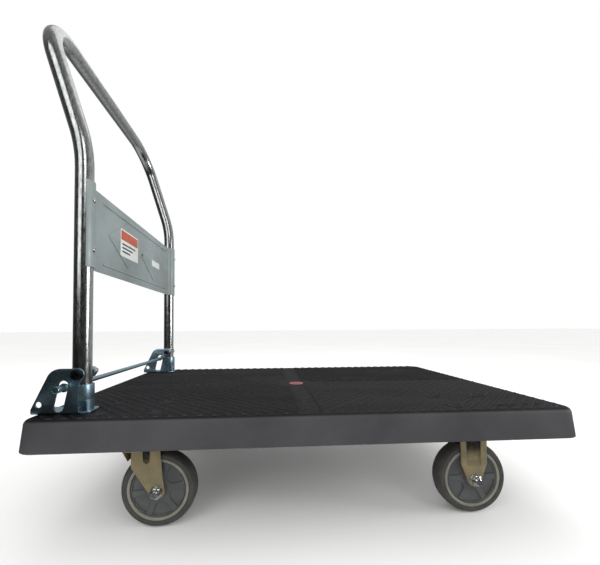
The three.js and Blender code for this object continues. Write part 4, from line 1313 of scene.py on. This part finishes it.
def make_hub(kind, side):
    boss_half = LEG_IN - 0.3 * MM
    ring_half = TYRE_HALF - 1 * MM
    rim = turned(rounded([
        (RIM_IN, -ring_half), (RIM_R, -ring_half), (RIM_R, ring_half), (RIM_IN, ring_half)],
        0.9 * MM, 4), 96)
    floor = DISC_HALF - PETAL_DEPTH
    disc = turned([(AXLE_HOLE_R, -floor), (RIM_IN + 1 * MM, -floor), (RIM_IN + 1 * MM, floor),
                   (AXLE_HOLE_R, floor)], 96)
    petals = [petal(FIRST_PETAL[kind] + 60 * i) for i in range(PETALS)]
    face = plate(circle(0, 0, DISC_R, 96), PETAL_DEPTH + 0.6 * MM, 0.7 * MM,
                 [circle(0, 0, AXLE_HOLE_R, 32), *petals])
    lift = DISC_HALF - (PETAL_DEPTH + 0.6 * MM) / 2
    boss = ring(AXLE_HOLE_R, HUB_BOSS_R, -boss_half, boss_half, 0.8 * MM, 48)
    centre = at(*WHEEL[kind, side]) @ ABOUT_Y
    faces = together(disc, moved(face, at(0, 0, lift)), moved(face, at(0, 0, -lift)), boss)
    add_piece(f"wheel_centre_{kind}_{side}", [(moved(rim, centre), RIM), (moved(faces, centre), HUB)],
              f"wheel_{kind}_{side}", [f"wheel_hub_{kind}_{side}"], 30)


def make_tyre(kind, side):
    bead = WHEEL_R - TYRE_WALL
    profile = rounded([
        (bead, -TYRE_HALF + 1 * MM, 0.6 * MM), (bead + 1.6 * MM, -TYRE_HALF + 0.5 * MM, 0.6 * MM),
        (WHEEL_R - 4.2 * MM, -TYRE_HALF, 1.6 * MM), (WHEEL_R - 2.4 * MM, -TYRE_HALF + 2.6 * MM, 2 * MM),
        (WHEEL_R, -TYRE_HALF + 8 * MM, 9 * MM), (WHEEL_R, TYRE_HALF - 8 * MM, 9 * MM),
        (WHEEL_R - 2.4 * MM, TYRE_HALF - 2.6 * MM, 2 * MM), (WHEEL_R - 4.2 * MM, TYRE_HALF, 1.6 * MM),
        (bead + 1.6 * MM, TYRE_HALF - 0.5 * MM, 0.6 * MM), (bead, TYRE_HALF - 1 * MM, 0.6 * MM),
    ], 1 * MM, 5)
    tyre = moved(turned(profile, 128), at(*WHEEL[kind, side]) @ ABOUT_Y)
    add_piece(f"tread_{kind}_{side}", [(tyre, RUBBER)], f"wheel_{kind}_{side}",
              [f"tyre_{kind}_{side}"])


def make_axle(kind, side):
    """The head is on the left of the wheel, the nut with its washer and free thread on the right."""
    body = "platform" if kind == "fixed" else f"swivel_{side}"
    seat = LEG_IN + LEG_T + 0.3 * MM
    head = together(
        ring(6.2 * MM, 11 * MM, seat - 0.25 * MM, seat + AXLE_WASHER_T, 0.25 * MM, 40),
        moved(nut(19 * MM, 0, 7 * MM - AXLE_WASHER_T), at(0, 0, seat + AXLE_WASHER_T)))
    shank = rod(AXLE_R, -seat - 1 * MM, seat + 1 * MM, 40)
    tail = thread(AXLE_R, -seat - AXLE_TAIL, -seat - 1 * MM)
    flip = Matrix.Rotation(math.pi, 4, "X")
    tight = together(
        ring(6.2 * MM, 9.8 * MM, -seat - AXLE_WASHER_T, -seat + 0.25 * MM, 0.25 * MM, 40),
        moved(nut(17 * MM, AXLE_R, 6.8 * MM), at(0, 0, -seat - AXLE_WASHER_T) @ flip),
        ring(AXLE_R, 7.6 * MM, -seat - 9.8 * MM, -seat - 7.6 * MM, 0.6 * MM, 40))
    place = at(*WHEEL[kind, side]) @ ABOUT_Y @ Matrix.Rotation(math.radians(12), 4, "Z")
    name = f"{kind}_{side}"
    add_piece(f"axle_{name}", [(moved(together(head, shank, tail), place), ZINC)], body,
              [f"axle_bolt_{name}"])
    add_piece(f"axle_lock_nut_{name}", [(moved(tight, place), ZINC)], body,
              [f"axle_nut_{name}"])


def leg_pair(outline, hollow_points, axle, middle_y, depth):
    """The fork's two legs, and their two sunken pans."""
    pairs = [leg_shapes(outline, hollow_points, axle, middle_y, facing, depth) for facing in (-1, 1)]
    legs, pans = zip(*pairs)
    return together(*legs), together(*pans)


def leg_shapes(outline, hollow_points, axle, middle_y, facing, depth):
    """One leg and its sunken pan. facing is the leg's outward way along Y."""
    y = middle_y + facing * (LEG_IN + LEG_T / 2)
    pan_line = rounded(hollow_points, 3 * MM, 5)
    leg = wall(outline, y, LEG_T, 0.5 * MM, [circle(axle.x, axle.y, AXLE_HOLE_R), pan_line])
    centre = sum((Vector(p[:2]) for p in hollow_points), Vector((0, 0))) / len(hollow_points)
    outer = y + facing * LEG_T / 2
    rings = []
    for sink, shrink in ((0.35, 1.03), (0.5, 0.98), (1.0, 0.9), (1.0, 0.86)):
        rings.append([
            Vector((centre.x + (p[0] - centre.x) * shrink, outer - facing * depth * sink,
                    centre.y + (p[1] - centre.y) * shrink))
            for p in pan_line
        ])
    under = [Vector((p.x, outer - facing * LEG_T * 0.96, p.z)) for p in rings[0]]
    pan = lofted([under] + rings)
    return leg, pan


def make_swivel_fork(side):
    axle = Vector((WHEEL["swivel", side].x, WHEEL["swivel", side].z))
    king = KINGPIN[side]
    top = CROWN_TOP
    foot = arc(axle.x, axle.y, LEG_FOOT_R, 217, 355, 18)
    outline = rounded(
        [(king.x - 4 * MM, top, 0), (king.x - 4 * MM, axle.y + 40 * MM, 5 * MM)]
        + [(*p, 0) for p in foot]
        + [(axle.x + 9 * MM, axle.y + 28 * MM, 6 * MM), (axle.x + 4.5 * MM, top, 0)], 0, 6)
    hollow_points = [(king.x + 14.5 * MM, top - 4 * MM), (king.x + 15.5 * MM, top - 23 * MM),
                     (king.x + 21 * MM, top - 29 * MM), (king.x + 26 * MM, top - 24 * MM),
                     (king.x + 27 * MM, top - 4 * MM)]
    legs, pans = leg_pair(outline, hollow_points, axle, king.y, 1.8 * MM)
    crown_z = top - CROWN_T
    crown = moved(ring(KINGPIN_HOLE_R, CROWN_R, crown_z, top, 1.2 * MM, 72),
                  at(king.x, king.y, 0))
    bridge = moved(plate(rectangle(king.x, axle.x + 4.5 * MM, king.y - LEG_IN - LEG_T,
                                   king.y + LEG_IN + LEG_T, 1 * MM), CROWN_T, 0.8 * MM,
                         [circle(king.x, king.y, KINGPIN_HOLE_R)]), at(0, 0, (crown_z + top) / 2))
    reach = WHEEL_R + APRON_GAP
    outward = Vector((math.cos(APRON_SLANT), math.sin(APRON_SLANT)))
    near = Vector((axle.x + reach * math.cos(APRON_SLANT), axle.y + reach * math.sin(APRON_SLANT)))
    far = near + outward * 3 * MM
    apron = wall(rounded([(king.x - 22 * MM, crown_z + 1 * MM), (far.x, far.y), (near.x, near.y),
                          (king.x - 19 * MM, crown_z + 1 * MM)], 0.8 * MM, 3),
                 king.y, 2 * LEG_IN + 2 * MM, 0.4 * MM)
    body = f"swivel_{side}"
    add_piece(f"fork_swivel_{side}",
              [(together(legs, crown, bridge, apron), YELLOW_ZINC), (pans, PAINTED_SHADE_ZINC)],
              body, [f"caster_fork_swivel_{side}"], 30)


def make_fixed_fork(side):
    wheel = WHEEL["fixed", side]
    axle = Vector((wheel.x, wheel.z))
    half = 24 * MM
    top = PLATE_LOW.z + 1 * MM
    foot = arc(axle.x, axle.y, LEG_FOOT_R, 205, 335, 18)
    outline = rounded(
        [(axle.x - half, top, 0), (axle.x - half, axle.y + 28 * MM, 9 * MM)]
        + [(*p, 0) for p in foot]
        + [(axle.x + half, axle.y + 28 * MM, 9 * MM), (axle.x + half, top, 0)], 0, 8)
    hollow_points = [(axle.x - 15 * MM, top - 3 * MM), (axle.x - 13 * MM, axle.y + 24 * MM),
                     (axle.x + 12 * MM, axle.y + 24 * MM), (axle.x + 13 * MM, top - 3 * MM)]
    legs, pans = leg_pair(outline, hollow_points, axle, wheel.y, 2.2 * MM)
    base = moved(caster_plate_shape([]), at(wheel.x, wheel.y, 0))
    add_piece(f"fork_fixed_{side}",
              [(together(legs, base), YELLOW_ZINC), (pans, PAINTED_SHADE_ZINC)],
              "platform", [f"caster_fork_fixed_{side}"], 30)


def caster_plate_shape(more_holes):
    half_x, half_y = PLATE_HALF
    bolt_x, bolt_y = PLATE_BOLTS
    holes = [circle(sx * bolt_x, sy * bolt_y, SHANK_HOLE_R, 24)
             for sx in (-1, 1) for sy in (-1, 1)]
    thick = PLATE_HIGH.z - PLATE_LOW.z
    flat = plate(rectangle(-half_x, half_x, -half_y, half_y, 8 * MM), thick, 0.6 * MM,
                 holes + more_holes)
    return moved(flat, at(0, 0, (PLATE_LOW.z + PLATE_HIGH.z) / 2))


def make_swivel_head(side):
    place = at(KINGPIN[side].x, KINGPIN[side].y, 0)
    base = caster_plate_shape([circle(0, 0, 10.3 * MM)])
    add_piece(f"top_plate_swivel_{side}", [(moved(base, place), YELLOW_ZINC)], "platform",
              [f"caster_plate_swivel_{side}"])
    low, high = RACE_LOW.z, RACE_HIGH.z
    waist = (low + high) / 2
    race = turned(rounded([
        (7 * MM, low), (28 * MM, low, 1 * MM), (29 * MM, waist - 2 * MM, 1 * MM),
        (26.5 * MM, waist, 1 * MM), (29.5 * MM, waist + 2 * MM, 1 * MM), (32 * MM, high, 0.5 * MM),
        (7 * MM, high)], 0.3 * MM, 3), 72)
    add_piece(f"race_swivel_{side}", [(moved(race, place), YELLOW_ZINC)], "platform",
              [f"ball_race_swivel_{side}"])
    foot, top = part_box(f"kingpin_swivel_{side}")
    step = foot.z + 5 * MM
    pin = turned([(0, foot.z), (8.6 * MM, foot.z), (10 * MM, foot.z + 1.4 * MM), (11 * MM, step),
                  (6 * MM, step), (6 * MM, PLATE_LOW.z), (10 * MM, PLATE_LOW.z),
                  (10 * MM, top.z - 0.3 * MM), (9.7 * MM, top.z), (0, top.z)], 48)
    add_piece(f"kingbolt_swivel_{side}", [(moved(pin, place), ZINC)], "platform",
              [f"kingpin_swivel_{side}"])


for kind, side in CASTERS:
    make_hub(kind, side)
    make_tyre(kind, side)
    make_axle(kind, side)
for side in SIDES:
    make_swivel_fork(side)
    make_fixed_fork(side)
    make_swivel_head(side)

# ---------------------------------------------------------------- stage, light and camera
def make_stage():
    """A wide plain pale floor; it doesn't show in reflections."""
    half = 30.0
    floor = new_object("floor", as_mesh("floor", (
        [Vector((x, y, 0)) for x, y in ((-half, -half), (half, -half), (half, half), (-half, half))],
        [(0, 1, 2, 3)])))
    made, tree, shader, where = start_finish("pale floor paint")
    mottle(tree, shader, where, 0.8, "#f6f6f5", "#fafaf9")
    shader.inputs["Roughness"].default_value = 0.9
    shader.inputs["Specular IOR Level"].default_value = 0.1
    floor.data.materials.append(made)
    floor.visible_glossy = False


def make_world():
    """Soft white surroundings. Reflections see a room that is dark on the camera's side, and
    brighter behind the cart, overhead and straight down."""
    world = bpy.data.worlds.new("studio")
    bpy.context.scene.world = world
    world.use_nodes = True
    tree = world.node_tree
    tree.nodes.clear()
    where = add_node(tree, "ShaderNodeTexCoord").outputs["Generated"]
    toward = add_node(tree, "ShaderNodeVectorMath", {1: (0.3, 0.72, 0.62)}, {0: where},
                      operation="DOT_PRODUCT")
    ramp = add_node(tree, "ShaderNodeValToRGB")
    span = add_node(tree, "ShaderNodeMapRange", {"From Min": -1.0, "From Max": 1.0},
                    {"Value": toward.outputs["Value"]})
    tree.links.new(span.outputs[0], ramp.inputs["Fac"])
    stops = [(0.0, 0.015), (0.3, 0.02), (0.48, 0.07), (0.64, 0.15), (0.8, 0.34), (1.0, 0.5)]
    while len(ramp.color_ramp.elements) < len(stops):
        ramp.color_ramp.elements.new(0.5)
    for stop, (place, level) in zip(ramp.color_ramp.elements, stops):
        stop.position = place
        stop.color = (level, level * 1.02, level * 1.04, 1)
    split = add_node(tree, "ShaderNodeSeparateXYZ", links={"Vector": where})
    ground = add_node(tree, "ShaderNodeMapRange", {"From Min": -0.3, "From Max": -0.75,
                      "To Min": 0.0, "To Max": 0.55}, {"Value": split.outputs["Z"]})
    level = add_node(tree, "ShaderNodeMath", links={
        0: ramp.outputs["Color"], 1: ground.outputs[0]}, operation="MAXIMUM")
    white = add_node(tree, "ShaderNodeBackground", {"Color": (1, 1, 1, 1)})
    mirrored = add_node(tree, "ShaderNodeBackground", links={"Color": level.outputs[0]})
    path = add_node(tree, "ShaderNodeLightPath")
    lit = add_node(tree, "ShaderNodeMixShader", links={
        0: path.outputs["Is Glossy Ray"], 1: white.outputs[0], 2: mirrored.outputs[0]})
    both = add_node(tree, "ShaderNodeMixShader", links={
        0: path.outputs["Is Camera Ray"], 1: lit.outputs[0], 2: white.outputs[0]})
    add_node(tree, "ShaderNodeOutputWorld", links={"Surface": both.outputs[0]})


def make_flag():
    """A black card that shades the right-hand bracket; it isn't seen directly."""
    low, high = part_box("hinge_bracket_right")
    y = low.y - 75 * MM
    card = new_object("flag", as_mesh("flag", block(
        (low.x - 130 * MM, y - 3 * MM, low.z + 4 * MM), (high.x - 34 * MM, y, high.z + 60 * MM))))
    made, tree, shader, where = start_finish("black card")
    mottle(tree, shader, where, 0.1, "#050505", "#080808")
    card.data.materials.append(made)
    card.visible_camera = card.visible_diffuse = False


def soft_box(name, place, target, width, height, power):
    lamp = bpy.data.lights.new(name, "AREA")
    lamp.shape = "RECTANGLE"
    lamp.size, lamp.size_y, lamp.energy = width, height, power
    made = new_object(name, lamp)
    made.location = place
    made.rotation_mode = "QUATERNION"
    made.rotation_quaternion = (Vector(target) - Vector(place)).to_track_quat("-Z", "Y")
    return made


CAMERA_PLACE = (-0.0654, -0.8025, 0.3355)
CAMERA_TURN, CAMERA_TILT, CAMERA_ROLL = (math.radians(a) for a in (3.88, 1.59, -0.34))
CAMERA_LENS = 19.396
CAMERA_SHIFT = (0.0208, 0.0590)


def make_camera():
    """A close, wide view from the right side, level with the middle of the cart."""
    forward = Vector((math.sin(CAMERA_TURN) * math.cos(CAMERA_TILT),
                      math.cos(CAMERA_TURN) * math.cos(CAMERA_TILT), math.sin(CAMERA_TILT)))
    level = Vector((math.cos(CAMERA_TURN), -math.sin(CAMERA_TURN), 0))
    upward = level.cross(forward)
    c, s = math.cos(CAMERA_ROLL), math.sin(CAMERA_ROLL)
    across, up = level * c + upward * s, upward * c - level * s
    lens = bpy.data.cameras.new("camera")
    lens.sensor_width = 36
    lens.lens = CAMERA_LENS
    lens.shift_x, lens.shift_y = CAMERA_SHIFT
    lens.clip_start = 0.02
    made = new_object("camera", lens)
    turn = Matrix((across, up, -forward)).transposed().to_4x4()
    made.matrix_world = at(*CAMERA_PLACE) @ turn
    bpy.context.scene.camera = made


make_stage()
make_world()
make_flag()
make_camera()
soft_box("key", (1.6, -3.2, 2.6), (0, 0, 0.3), 1.4, 1.4, 16)
soft_box("handle", (-1.35, -2.35, 1.75), (-0.37, -0.2, 0.6), 1.7, 2.3, 19)
soft_box("front end", (2.7, -0.6, 0.75), (-0.3, -0.2, 0.25), 1.0, 0.9, 26)
soft_box("top", (0.2, 1.2, 3.4), (0, 0, 0.2), 3.0, 2.4, 14)
bpy.context.scene.view_settings.view_transform = "Standard"
